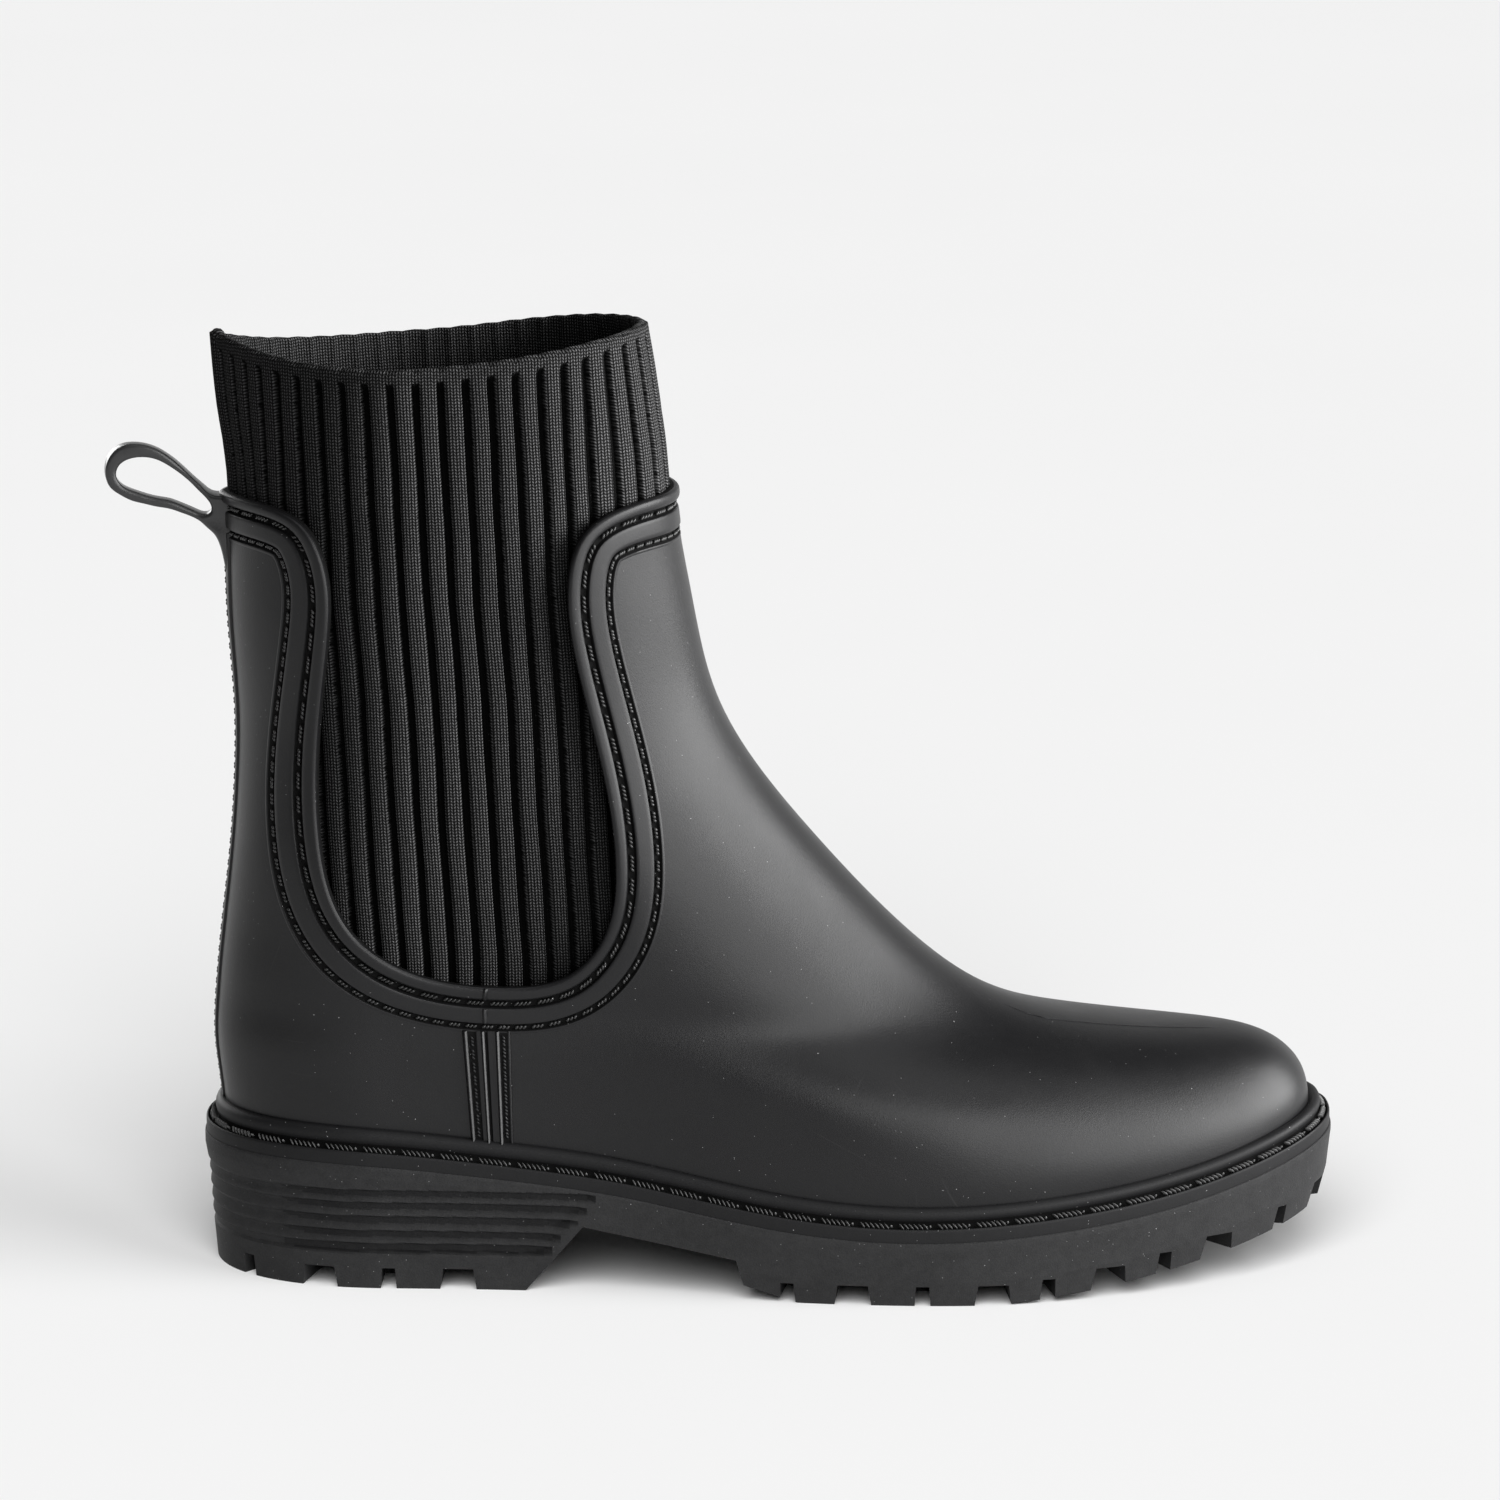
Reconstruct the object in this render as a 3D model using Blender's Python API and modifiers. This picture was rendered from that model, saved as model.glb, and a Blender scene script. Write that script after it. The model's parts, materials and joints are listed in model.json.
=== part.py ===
"""Chelsea rain boot for the right foot: moulded rubber upper, ribbed knit shaft, lugged sole.

Sizes are in millimetres and meshes are made in metres. In the last's own frame +X runs from heel to toe
with 0 at the back of the sole, -Y is the outer side of the foot, and +Z is up from the floor.
"""

import math
from collections import namedtuple

import bmesh
import bpy
import numpy as np

MM = 0.001
GAP = 0.3  # clearance between neighbouring pieces

# Driving sizes of the sole
SOLE_LENGTH = 277.0
RIM = 5.4  # how far the welt stands out round the upper
WELT_HEIGHT = 3.2
SOLE_DRAFT = 2.6  # the tread's edge lies this far inside the welt's
LUG_DEPTH = 5.2
TOE_SPRING = 15.0
SPRING_START = 188.0
SPRING_POWER = 1.6
HEEL_BREAST = 80.0  # front of the heel on the floor
BREAST_TOP = 94.0
ARCH_HEIGHT = 17.0
BALL_STEP = 131.0  # where the arch ends and the forefoot's first lug begins
FOREFOOT_START = 146.0

# Driving sizes of the upper and the knit
WALL = 2.2
KNIT_WALL = 1.9
KNIT_PLAY = 1.0
BEAD_SHARE = 0.25  # share of the trim's width taken by the bead on its edge
STAY_HALF_WIDTH = 4.6
STAY_FOOT = 38.8  # the stay and the side seams end on the welt's bead
STAY_TOP = 181.0  # just over the trim's lower edge
Strip = namedtuple("Strip", "name rise bite")  # how far a raised strip stands out, and sits in the wall
TRIM_BAND = Strip("trim_band", 0.6, 1.2)
EDGE_BEAD = Strip("edge_bead", 1.4, 0.6)
BACK_STAY = Strip("back_stay", 0.75, 0.9)
SEAM_STRIP = Strip("side_seam", 0.45, 1.5)
INSOLE_THICKNESS = 4.0
INSOLE_PLAY = 0.9

# The sole's upper edge seen from the side
EdgePoint = namedtuple("EdgePoint", "x z")
WELT_LINE = [
    EdgePoint(0, 35.5),
    EdgePoint(38, 35.1),
    EdgePoint(75, 31.9),
    EdgePoint(104, 28.4),
    EdgePoint(135, 22.9),
    EdgePoint(172, 19.8),
    EdgePoint(205, 21.4),
    EdgePoint(240, 26.0),
    EdgePoint(SOLE_LENGTH, 35.0),
]

# Side wall of the sole: share of its height, and how far it lies inside the welt at forefoot and heel
WallPoint = namedtuple("WallPoint", "share fore heel")
SOLE_WALL = [
    WallPoint(0.0, SOLE_DRAFT, SOLE_DRAFT),
    WallPoint(0.38, 1.0, 2.1),
    WallPoint(0.74, 0.6, 1.5),
    WallPoint(0.9, 0.5, 0.5),
    WallPoint(1.0, 0.5, 0.5),
]
HEEL_END = 100.0  # the heel's wall passes into the forefoot's up to here

# Plan of the last at the feather edge: half width, and how far its middle line swings to the inner side
PlanPoint = namedtuple("PlanPoint", "x half swing")
LAST_PLAN = [
    PlanPoint(0, 29.0, 0.0),
    PlanPoint(45, 29.6, -0.6),
    PlanPoint(105, 31.4, -3.2),
    PlanPoint(150, 39.6, -2.6),
    PlanPoint(188, 43.8, -0.4),
    PlanPoint(235, 44.0, 4.0),
    PlanPoint(SOLE_LENGTH, 44.0, 8.0),
]

# Sections of the boot from feather edge to collar. Each runs from a point on the back profile to one on
# the front profile. plan is its share of the last's plan, half the half width that makes up the rest.
# The ends round off over toe_round and heel_round, where a power of 2 is round and 1 is pinched.
# sag is how far the section follows the dip of the sole's edge.
Section = namedtuple(
    "Section",
    "back_x back_z front_x front_z plan half toe_round toe_power heel_round heel_power sag",
)
SECTIONS = [
    Section(5.6, 32.6, 272.6, 32.1, 1.00, 0.0, 92, 2.3, 40, 2.2, 1.00),
    Section(5.0, 43.0, 272.0, 42.2, 1.03, 0.0, 92, 2.3, 40, 2.2, 0.96),
    Section(4.0, 52.0, 268.4, 50.2, 1.03, 0.0, 100, 2.2, 40, 2.2, 0.85),
    Section(3.7, 59.0, 259.0, 57.2, 1.00, 1.0, 120, 2.1, 40, 2.2, 0.68),
    Section(4.1, 66.5, 240.6, 60.9, 0.90, 4.0, 135, 2.0, 41, 2.1, 0.48),
    Section(4.9, 75.0, 213.4, 63.9, 0.74, 9.2, 129, 2.0, 42, 2.1, 0.30),
    Section(6.0, 85.0, 190.2, 70.2, 0.50, 17.5, 92, 2.0, 43, 2.0, 0.15),
    Section(7.4, 96.0, 170.0, 84.6, 0.24, 26.6, 68, 2.0, 44, 2.0, 0.05),
    Section(8.7, 108.0, 151.9, 103.0, 0.06, 32.8, 57, 2.0, 45, 2.0, 0.0),
    Section(9.6, 121.5, 135.8, 123.0, 0.0, 34.6, 51, 2.0, 46, 1.9, 0.0),
    Section(9.8, 140.0, 125.3, 143.0, 0.0, 34.2, 47, 2.0, 46, 1.8, 0.0),
    Section(8.4, 163.0, 120.1, 166.0, 0.0, 34.4, 44, 2.0, 46, 1.7, 0.0),
    Section(7.4, 189.3, 116.4, 190.2, 0.0, 34.8, 42, 2.0, 46, 1.5, 0.0),
    Section(3.7, 209.0, 116.4, 211.5, 0.0, 34.6, 40, 1.9, 48, 1.25, 0.0),
    Section(1.7, 228.5, 113.1, 231.4, 0.0, 34.2, 38, 1.8, 50, 1.0, 0.0),
]
TOP_LINE = 12.0  # section at the upper's top edge
STRAIGHT = 11.0  # the shaft runs straight on from here
TOP_SPARE = 0.4  # the wall is made this much taller, and the top edge is cut
COLLAR = 14.0
COLLAR_DIP = 5.9  # the knit's rim hangs lower at its sides, most of all behind the middle
DIP_LEAN = 0.75

# Edge of the side gusset seen from the side, from the back panel's shoulder to the front panel's, and the
# width of the trim along it
GussetPoint = namedtuple("GussetPoint", "x z trim")
GUSSET_EDGE = [
    GussetPoint(-30, 190.4, 10.9),
    GussetPoint(0, 190.4, 10.9),
    GussetPoint(17, 190.7, 10.9),
    GussetPoint(27.4, 187.7, 10.9),
    GussetPoint(33.4, 177, 11.0),
    GussetPoint(33.7, 160, 11.2),
    GussetPoint(31.2, 138, 11.7),
    GussetPoint(31.0, 112, 12.6),
    GussetPoint(38, 89.6, 12.5),
    GussetPoint(55, 78.2, 11.4),
    GussetPoint(74, 75.4, 11.0),
    GussetPoint(90, 78.2, 11.0),
    GussetPoint(100, 89.6, 11.0),
    GussetPoint(102.4, 106, 11.1),
    GussetPoint(98.2, 134, 10.8),
    GussetPoint(92.9, 157, 10.5),
    GussetPoint(91.4, 173, 10.5),
    GussetPoint(95.6, 186.2, 10.8),
    GussetPoint(106.5, 191.4, 11.4),
    GussetPoint(122, 191.6, 11.6),
    GussetPoint(150, 191.6, 11.6),
]
EDGE_STEP = 6.5  # spacing of points on the cut edges

# Seam strip under the gusset: middle and half width at its upper and lower end
SeamEnd = namedtuple("SeamEnd", "x z half")
SIDE_SEAM = [SeamEnd(71.3, 70.0, 5.2), SeamEnd(72.6, 35.2, 4.3)]

# The knit inside the boot hangs straight down: its front line, and a lower edge that rises to the instep
KNIT_FRONT_LINE = [
    EdgePoint(122.5, 60),
    EdgePoint(121.4, 110),
    EdgePoint(119.6, 150),
    EdgePoint(117.4, 189),
    EdgePoint(116.4, 211.5),
    EdgePoint(113.1, 231.4),
]
KNIT_FOOT = 63.0
KNIT_INSTEP = 124.0
KNIT_BEND = 85.0
KNIT_RUN = 34.0
KNIT_HALF = 34.5
RIB_COUNT = 40
RIB_RISE = 0.9

# Welt in section: heights at which its bead touches the upper, then its outside as distance out and up
WELT_PLAY = 0.5
FEATHER_STEP = 1.0 / 11.0  # levels of the form per millimetre, next to the feather edge
BEAD_CONTACT = [0.0, 2.0, 4.6]
WeltPoint = namedtuple("WeltPoint", "out up")
WELT_PROFILE = [
    WeltPoint(1.7, 5.6),
    WeltPoint(2.7, 5.0),
    WeltPoint(3.0, WELT_HEIGHT),
    WeltPoint(RIM, WELT_HEIGHT),
    WeltPoint(RIM, 0.0),
]

# Grooves round the heel block
HEEL_GROOVES = [8.6, 12.4, 16.2, 20.0, 23.8]
GROOVE_DEPTH = 0.7
GROOVE_HALF = 0.9

# Tread: slots of two widths by turns along the edge, from where a run starts on either side
SlotRun = namedtuple("SlotRun", "x pitch count first_wide")
SLOT_RUNS = [SlotRun(63.6, -17.0, 5, 1), SlotRun(143.4, 15.9, 10, 0)]
NARROW_SLOT = 3.2
WIDE_SLOT = 7.4
SLOT_SPLAY = 1.4  # a slot is wider at its mouth by this factor
TREAD_BAND = 18.0  # width of the ring of edge lugs

# Hollows inside the edge lugs, each with a row of crosses
TreadPad = namedtuple("TreadPad", "back front crosses")
TREAD_PADS = [TreadPad(20.0, 66.0, 2), TreadPad(156.0, 250.0, 4)]
CROSS_BAR = 5.0
CROSS_REACH = 0.56  # a cross's arm as a share of the room that it has

# Pull loop seen from the side: its outer edge, and the hole through it
LOOP_OUTER = [
    EdgePoint(6.6, 170),
    EdgePoint(5.4, 175.6),
    EdgePoint(3.6, 180.2),
    EdgePoint(1.3, 183.2),
    EdgePoint(-2.1, 185.5),
    EdgePoint(-6.0, 186.9),
    EdgePoint(-10.5, 187.8),
    EdgePoint(-15.1, 189.3),
    EdgePoint(-18.4, 191.5),
    EdgePoint(-19.6, 195.0),
    EdgePoint(-18.0, 198.8),
    EdgePoint(-13.0, 201.4),
    EdgePoint(-7.2, 200.9),
    EdgePoint(-1.2, 197.8),
    EdgePoint(3.4, 193.6),
    EdgePoint(5.3, 191.3),
    EdgePoint(5.6, 188.2),
    EdgePoint(6.3, 183),
    EdgePoint(6.6, 177),
]
LOOP_HOLE = [
    EdgePoint(3.6, 187.6),
    EdgePoint(2.8, 186.4),
    EdgePoint(0.2, 187.0),
    EdgePoint(-3.0, 188.5),
    EdgePoint(-6.2, 189.3),
    EdgePoint(-9.8, 190.0),
    EdgePoint(-13.4, 190.9),
    EdgePoint(-16.4, 192.6),
    EdgePoint(-17.6, 195.1),
    EdgePoint(-16.0, 198.1),
    EdgePoint(-11.6, 199.3),
    EdgePoint(-8.5, 198.8),
    EdgePoint(-5.8, 197.6),
    EdgePoint(-2.7, 195.6),
    EdgePoint(-0.1, 193.3),
    EdgePoint(2.3, 190.4),
]
LOOP_WIDTH = 10.6
LOOP_STEP = 2.2

# Mesh density
AROUND = 40
RISE_STEPS = 16
SOLE_AROUND = 52
DENSE = 240
END_BIAS = 0.45  # crowds the columns towards toe and heel

RUBBER = (0.016, 0.016, 0.018, 1.0)
SOLE_RUBBER = (0.020, 0.020, 0.021, 1.0)
KNIT = (0.012, 0.012, 0.012, 1.0)
LINING = (0.030, 0.030, 0.032, 1.0)


def cubic(xs, ys):
    """Natural cubic spline through the points, as a function of one number or an array."""
    xs, ys = np.asarray(xs, float), np.asarray(ys, float)
    span = np.diff(xs)
    count = len(xs)
    matrix, right = np.eye(count), np.zeros(count)
    for i in range(1, count - 1):
        matrix[i, i - 1 : i + 2] = span[i - 1], 2 * (span[i - 1] + span[i]), span[i]
        right[i] = 6 * ((ys[i + 1] - ys[i]) / span[i] - (ys[i] - ys[i - 1]) / span[i - 1])
    bend = np.linalg.solve(matrix, right)

    def value(x):
        x = np.asarray(x, float)
        i = np.clip(np.searchsorted(xs, x) - 1, 0, count - 2)
        a, b, h = xs[i + 1] - x, x - xs[i], span[i]
        curve = (bend[i] * a**3 + bend[i + 1] * b**3) / (6 * h)
        return curve + (ys[i] / h - bend[i] * h / 6) * a + (ys[i + 1] / h - bend[i + 1] * h / 6) * b

    return value


def column(table, name):
    return [getattr(row, name) for row in table]


def table_curve(table, name):
    return cubic(column(table, "x"), column(table, name))


def smooth_path(table, step, closed=False):
    """Evenly spaced rows on a smooth curve through a table that starts with x and z."""
    rows = table[-3:] + table + table[:3] if closed else table
    points = np.array(rows, float)
    along = np.concatenate([[0], np.cumsum(np.linalg.norm(np.diff(points[:, :2], axis=0), axis=1))])
    first, last = (along[3], along[-3]) if closed else (along[0], along[-1])
    count = max(8, round((last - first) / step))
    at = np.linspace(first, last, count + 1)
    if closed:
        at = at[:-1]
    return np.stack([cubic(along, values)(at) for values in points.T], axis=1)


def offset_path(path, distance):
    """The path moved to its right by a distance at each point."""
    along = np.gradient(path, axis=0)
    along /= np.linalg.norm(along, axis=1)[:, None]
    return path + distance[:, None] * np.stack([along[:, 1], -along[:, 0]], axis=1)


welt_line = table_curve(WELT_LINE, "z")
plan_half = table_curve(LAST_PLAN, "half")
plan_swing = table_curve(LAST_PLAN, "swing")
knit_front = cubic(column(KNIT_FRONT_LINE, "z"), column(KNIT_FRONT_LINE, "x"))
back_line = cubic(column(SECTIONS, "back_z"), column(SECTIONS, "back_x"))
section_columns = {
    name: cubic(range(len(SECTIONS)), column(SECTIONS, name)) for name in Section._fields
}


def seat_z(x):
    """Height of the sole's seat, on which welt, upper and insole stand."""
    return welt_line(np.clip(x, 0, SOLE_LENGTH)) - WELT_HEIGHT - GAP


def tread_z(x):
    """Height of the tread over the floor: flat at heel and ball, with the toe's spring."""
    share = np.clip((x - SPRING_START) / (SOLE_LENGTH - SPRING_START), 0, 1)
    return TOE_SPRING * share**SPRING_POWER


def rounded_end(distance, length, power):
    share = np.clip(distance / length, 0, 1)
    return (1 - (1 - share) ** (1 + power / 2)) ** (1 / power)


def section_at(level):
    return Section(*[float(section_columns[name](level)) for name in Section._fields])


def section_line(level):
    """One section as arrays from back to front: x, middle line, half width and z."""
    s = section_at(level)
    feather = SECTIONS[0]
    share = (1 - np.cos(np.linspace(0, math.pi, DENSE))) / 2
    length = s.front_x - s.back_x
    x = s.back_x + length * share
    half = s.plan * plan_half(x) + s.half
    half = half * rounded_end(share * length, s.heel_round, s.heel_power)
    half = half * rounded_end((1 - share) * length, s.toe_round, s.toe_power)
    middle = min(s.plan, 1.0) * plan_swing(x)
    rise = (feather.front_z - feather.back_z) / (feather.front_x - feather.back_x)
    chord = feather.back_z + rise * (x - feather.back_x)
    z = s.back_z + (s.front_z - s.back_z) * share + s.sag * (seat_z(x) + GAP - chord)
    return x, middle, half, z


def ring(level, count):
    """One closed section as points from the back centre over the outer side to the toe and back."""
    x, middle, half, z = section_line(level)
    halves = []
    for side in (-1, 1):
        points = np.stack([x, middle + side * half, z], axis=1)
        along = np.concatenate([[0], np.cumsum(np.linalg.norm(np.diff(points, axis=0), axis=1))])
        at = np.linspace(0, 1, count // 2 + 1)
        at = (at - END_BIAS * np.sin(2 * math.pi * at) / (2 * math.pi)) * along[-1]
        halves.append(np.stack([np.interp(at, along, points[:, k]) for k in range(3)], axis=1))
    return np.concatenate([halves[0], halves[1][-2:0:-1]])


def form(levels, count):
    return np.array([ring(level, count) for level in levels])


def normals(rings):
    """Outward unit normals of a form, whose rings run anticlockwise seen from above."""
    around = np.roll(rings, -1, axis=1) - np.roll(rings, 1, axis=1)
    up = np.gradient(rings, axis=0)
    out = np.cross(around, up)
    return out / np.linalg.norm(out, axis=2)[:, :, None]


def flat_outward(outline):
    """Outward unit normals of a closed outline, level with the floor."""
    around = np.roll(outline, -1, axis=0) - np.roll(outline, 1, axis=0)
    out = np.stack([around[:, 1], -around[:, 0], np.zeros(len(outline))], axis=1)
    centre = outline.mean(axis=0)
    sign = np.sign(np.sum(out * (outline - centre), axis=1).sum())
    return sign * out / np.linalg.norm(out, axis=1)[:, None]


def material(name, colour, roughness):
    made = bpy.data.materials.new(name)
    made.use_nodes = True
    shader = made.node_tree.nodes["Principled BSDF"]
    shader.inputs["Base Color"].default_value = colour
    shader.inputs["Roughness"].default_value = roughness
    shader.inputs["Metallic"].default_value = 0.0
    return made


def new_object(name, bm, collection):
    bmesh.ops.recalc_face_normals(bm, faces=bm.faces)
    mesh = bpy.data.meshes.new(name)
    bm.to_mesh(mesh)
    bm.free()
    made = bpy.data.objects.new(name, mesh)
    collection.objects.link(made)
    return made


def add_rings(bm, rings):
    return [[bm.verts.new(np.array(p) * MM) for p in points] for points in rings]


def skin(bm, rows, wrap_rows=False):
    """Quads between neighbouring rows of points, each row closed."""
    pairs = list(zip(rows, rows[1:]))
    if wrap_rows:
        pairs.append((rows[-1], rows[0]))
    for low, high in pairs:
        for i in range(len(low)):
            j = (i + 1) % len(low)
            bm.faces.new((low[i], low[j], high[j], high[i]))


def cap(bm, row):
    """Closes a ring with strips from its outer to its inner side, so that it follows the sole's curve."""
    half = len(row) // 2
    mirror = [row[0]] + row[:half:-1] + [row[half]]
    for i in range(half):
        corners = [row[i], row[i + 1], mirror[i + 1], mirror[i]]
        bm.faces.new(list(dict.fromkeys(corners)))


def loft(name, rings, collection, closed_ends=True, wrap_rows=False):
    bm = bmesh.new()
    rows = add_rings(bm, rings)
    skin(bm, rows, wrap_rows)
    if closed_ends:
        cap(bm, rows[0])
        cap(bm, rows[-1])
    return new_object(name, bm, collection)


def prism(name, outline, half_depth, collection):
    """A side-view outline of x and z, extruded across the boot."""
    bm = bmesh.new()
    face = bm.faces.new([bm.verts.new((x * MM, -half_depth * MM, z * MM)) for x, z in outline])
    pushed = bmesh.ops.extrude_face_region(bm, geom=[face])["geom"]
    corners = [g for g in pushed if isinstance(g, bmesh.types.BMVert)]
    bmesh.ops.translate(bm, verts=corners, vec=(0, 2 * half_depth * MM, 0))
    return new_object(name, bm, collection)


def sweep(name, path, frames, profile, collection):
    """A closed profile carried along an open path. A frame holds the outward and upward directions."""
    bm = bmesh.new()
    rows = []
    for point, (out, up) in zip(path, frames):
        rows.append([bm.verts.new((point + out * o + up * u) * MM) for o, u in profile])
    skin(bm, rows)
    bm.faces.new(rows[0])
    bm.faces.new(rows[-1])
    return new_object(name, bm, collection)


def boolean(target, operation, tool):
    modifier = target.modifiers.new(tool.name, "BOOLEAN")
    modifier.operation = operation
    modifier.solver = "EXACT"
    modifier.object = tool


def boolean_all(target, operation, tools):
    modifier = target.modifiers.new(tools.name, "BOOLEAN")
    modifier.operation = operation
    modifier.solver = "EXACT"
    modifier.operand_type = "COLLECTION"
    modifier.collection = tools


def hide_as_tool(tool):
    tool.hide_render = True
    tool.display_type = "WIRE"


def solidify(target, thickness):
    """A wall inwards from an open surface, in flat triangles."""
    modifier = target.modifiers.new("wall", "SOLIDIFY")
    modifier.thickness = thickness * MM
    modifier.offset = -1.0
    modifier.use_even_offset = True
    target.modifiers.new("flat_faces", "TRIANGULATE")


def outer_shell(name, rise, thickness, top, collection):
    """An open copy of the upper's surface, moved out by rise and given a wall inwards."""
    levels = np.append(np.linspace(0, STRAIGHT, RISE_STEPS), top)
    rings = form(levels, AROUND)
    rings = rings + rise * normals(rings)
    bm = bmesh.new()
    skin(bm, add_rings(bm, rings))
    made = new_object(name, bm, collection)
    solidify(made, thickness)
    return made


def edge_region(share):
    """Side-view outline of the gusset and of a share of the trim's width round it."""
    x, z, trim = smooth_path(GUSSET_EDGE, EDGE_STEP).T
    path = offset_path(np.stack([x, z], axis=1), share * trim)
    over = COLLAR_DIP + max(column(SECTIONS, "front_z"))
    return np.concatenate([path, [(path[-1][0], over), (path[0][0], over)]])


def seam_outline():
    upper, lower = SIDE_SEAM
    return [
        (upper.x - upper.half, upper.z),
        (upper.x + upper.half, upper.z),
        (lower.x + lower.half, lower.z),
        (lower.x - lower.half, lower.z),
    ]


def overlay(sizes, outline, half_depth, strips, tools):
    """A raised strip of the upper's own form inside a side-view outline."""
    top = TOP_LINE + TOP_SPARE / (1 + sizes.rise)
    strip = outer_shell(sizes.name, sizes.rise, sizes.rise + sizes.bite, top, strips)
    mould = prism(sizes.name + "_mould", outline, half_depth, tools)
    boolean(strip, "INTERSECT", mould)
    hide_as_tool(strip)
    hide_as_tool(mould)


def make_upper(parts, strips, tools):
    """The moulded wall, open at the gussets; trim band, edge bead, back stay and seams are steps in it."""
    upper = outer_shell("upper", 0.0, WALL, TOP_LINE + TOP_SPARE, parts)
    full = 80.0
    stay_outline = [(-10, STAY_FOOT), (40, STAY_FOOT), (40, STAY_TOP), (-10, STAY_TOP)]
    overlay(TRIM_BAND, edge_region(1.0), full, strips, tools)
    overlay(EDGE_BEAD, edge_region(BEAD_SHARE), full, strips, tools)
    overlay(BACK_STAY, stay_outline, STAY_HALF_WIDTH, strips, tools)
    overlay(SEAM_STRIP, seam_outline(), full, strips, tools)
    boolean_all(upper, "UNION", strips)
    opening = prism("gusset_opening", edge_region(0.0), full, tools)
    hide_as_tool(opening)
    boolean(upper, "DIFFERENCE", opening)
    return upper


def form_lookup():
    """A function that gives the form's middle and half width at a side-view point."""
    lines = [section_line(level) for level in np.linspace(0, COLLAR + 0.5, 59)]

    def look(x, z):
        middles, halves, heights = (
            [np.interp(x, line[0], line[k]) for line in lines] for k in (1, 2, 3)
        )
        return np.interp(z, heights, middles), np.interp(z, heights, halves)

    return look


def knit_shares(count):
    """Where evenly spaced columns lie on the chord from back to front, measured at the top line."""
    x, _, half, _ = section_line(TOP_LINE)
    along = np.concatenate([[0], np.cumsum(np.hypot(np.diff(x), np.diff(half)))])
    at = np.interp(np.linspace(0, along[-1], count // 2 + 1), along, x)
    return (at - x[0]) / (x[-1] - x[0])


def knit_point(look, share, side, height, inset):
    """A point of the knit's wall: share along the chord, height from its lower edge to the collar."""
    collar = SECTIONS[-1]
    top = collar.back_z + (collar.front_z - collar.back_z) * share
    top = top - COLLAR_DIP * math.sin(math.pi * share**DIP_LEAN)
    reach = SECTIONS[9].back_x + (KNIT_FRONT_LINE[0].x - SECTIONS[9].back_x) * share
    foot = KNIT_FOOT + (KNIT_INSTEP - KNIT_FOOT) * np.clip((reach - KNIT_BEND) / KNIT_RUN, 0, 1) ** 2
    z = foot + (top - foot) * height
    back = float(back_line(z)) + inset
    front = float(knit_front(z)) - inset
    x = back + (front - back) * share
    middle, half = look(x - inset * (1 - 2 * share), z)
    half = half * (1 - inset / KNIT_HALF)
    close = 2 * KNIT_HALF * rounded_end(front - x, 2 * KNIT_HALF, 2.0)
    half = (max(half, 0.01) ** -4 + max(close, 0.01) ** -4) ** -0.25
    if share in (0.0, 1.0):
        half = 0.0
    return x, middle + side * half, z


def knit_wall(inset, count, steps):
    """Rings of the knit's wall, inset from the form, whose columns run straight down from the collar."""
    look = form_lookup()
    shares = knit_shares(count)
    walls = []
    for step in range(steps + 1):
        outer = [knit_point(look, share, -1, step / steps, inset) for share in shares]
        inner = [knit_point(look, share, 1, step / steps, inset) for share in shares[-2:0:-1]]
        walls.append(np.array(outer + inner))
    return walls


def make_knit_shaft(parts):
    """Ribbed tube inside the upper: raised ribs on the outside, smooth within."""
    steps = 5
    outer_inset = WALL + KNIT_PLAY
    per_rib = 4
    count = RIB_COUNT * per_rib
    crest = knit_wall(outer_inset, count, steps)
    groove = knit_wall(outer_inset + RIB_RISE, count, steps)
    inner = knit_wall(outer_inset + KNIT_WALL + RIB_RISE, RIB_COUNT, steps)
    raised = [i % per_rib in (1, 2) for i in range(count)]
    outer = [np.where(np.array(raised)[:, None], c, g) for c, g in zip(crest, groove)]
    bm = bmesh.new()
    outer_rows = add_rings(bm, outer)
    inner_rows = add_rings(bm, inner)
    skin(bm, outer_rows)
    skin(bm, inner_rows)
    for outer_row, inner_row in ((outer_rows[0], inner_rows[0]), (outer_rows[-1], inner_rows[-1])):
        for rib in range(RIB_COUNT):
            rim = [outer_row[(rib * per_rib + k) % count] for k in range(per_rib + 1)]
            bm.faces.new(rim + [inner_row[(rib + 1) % RIB_COUNT], inner_row[rib]])
    return new_object("knit_shaft", bm, parts)


def make_welt(parts):
    """The strip round the upper's foot: a flat lip over the sole's edge and a bead against the upper."""
    close = form(np.array(BEAD_CONTACT) * FEATHER_STEP, SOLE_AROUND)
    close = close + WELT_PLAY * normals(close)
    rings = list(close)
    feather = ring(0.0, SOLE_AROUND)
    for point in WELT_PROFILE:
        edge = feather + point.out * flat_outward(feather)
        edge[:, 2] = seat_z(edge[:, 0]) + GAP + point.up
        rings.append(edge)
    return loft("welt", rings, parts, closed_ends=False, wrap_rows=True)


def wall_inset(x, share):
    """How far the sole's side wall lies inside the welt's edge."""
    shares = column(SOLE_WALL, "share")
    fore, heel = (np.interp(share, shares, column(SOLE_WALL, name)) for name in ("fore", "heel"))
    blend = np.clip((HEEL_END - x) / (HEEL_END - HEEL_BREAST), 0, 1)
    return fore + (heel - fore) * blend


def wall_ring(share):
    """One ring of the sole's side wall. A share of 0 is on the tread, 1 at the seat."""
    feather = ring(0.0, SOLE_AROUND)
    inset = wall_inset(feather[:, 0], share)
    edge = feather + (RIM - inset)[:, None] * flat_outward(feather)
    x = edge[:, 0]
    edge[:, 2] = tread_z(x) + share * (seat_z(x) - tread_z(x))
    return edge


def edge_frames(outline):
    return [(out, np.array([0.0, 0.0, 1.0])) for out in flat_outward(outline)]


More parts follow.
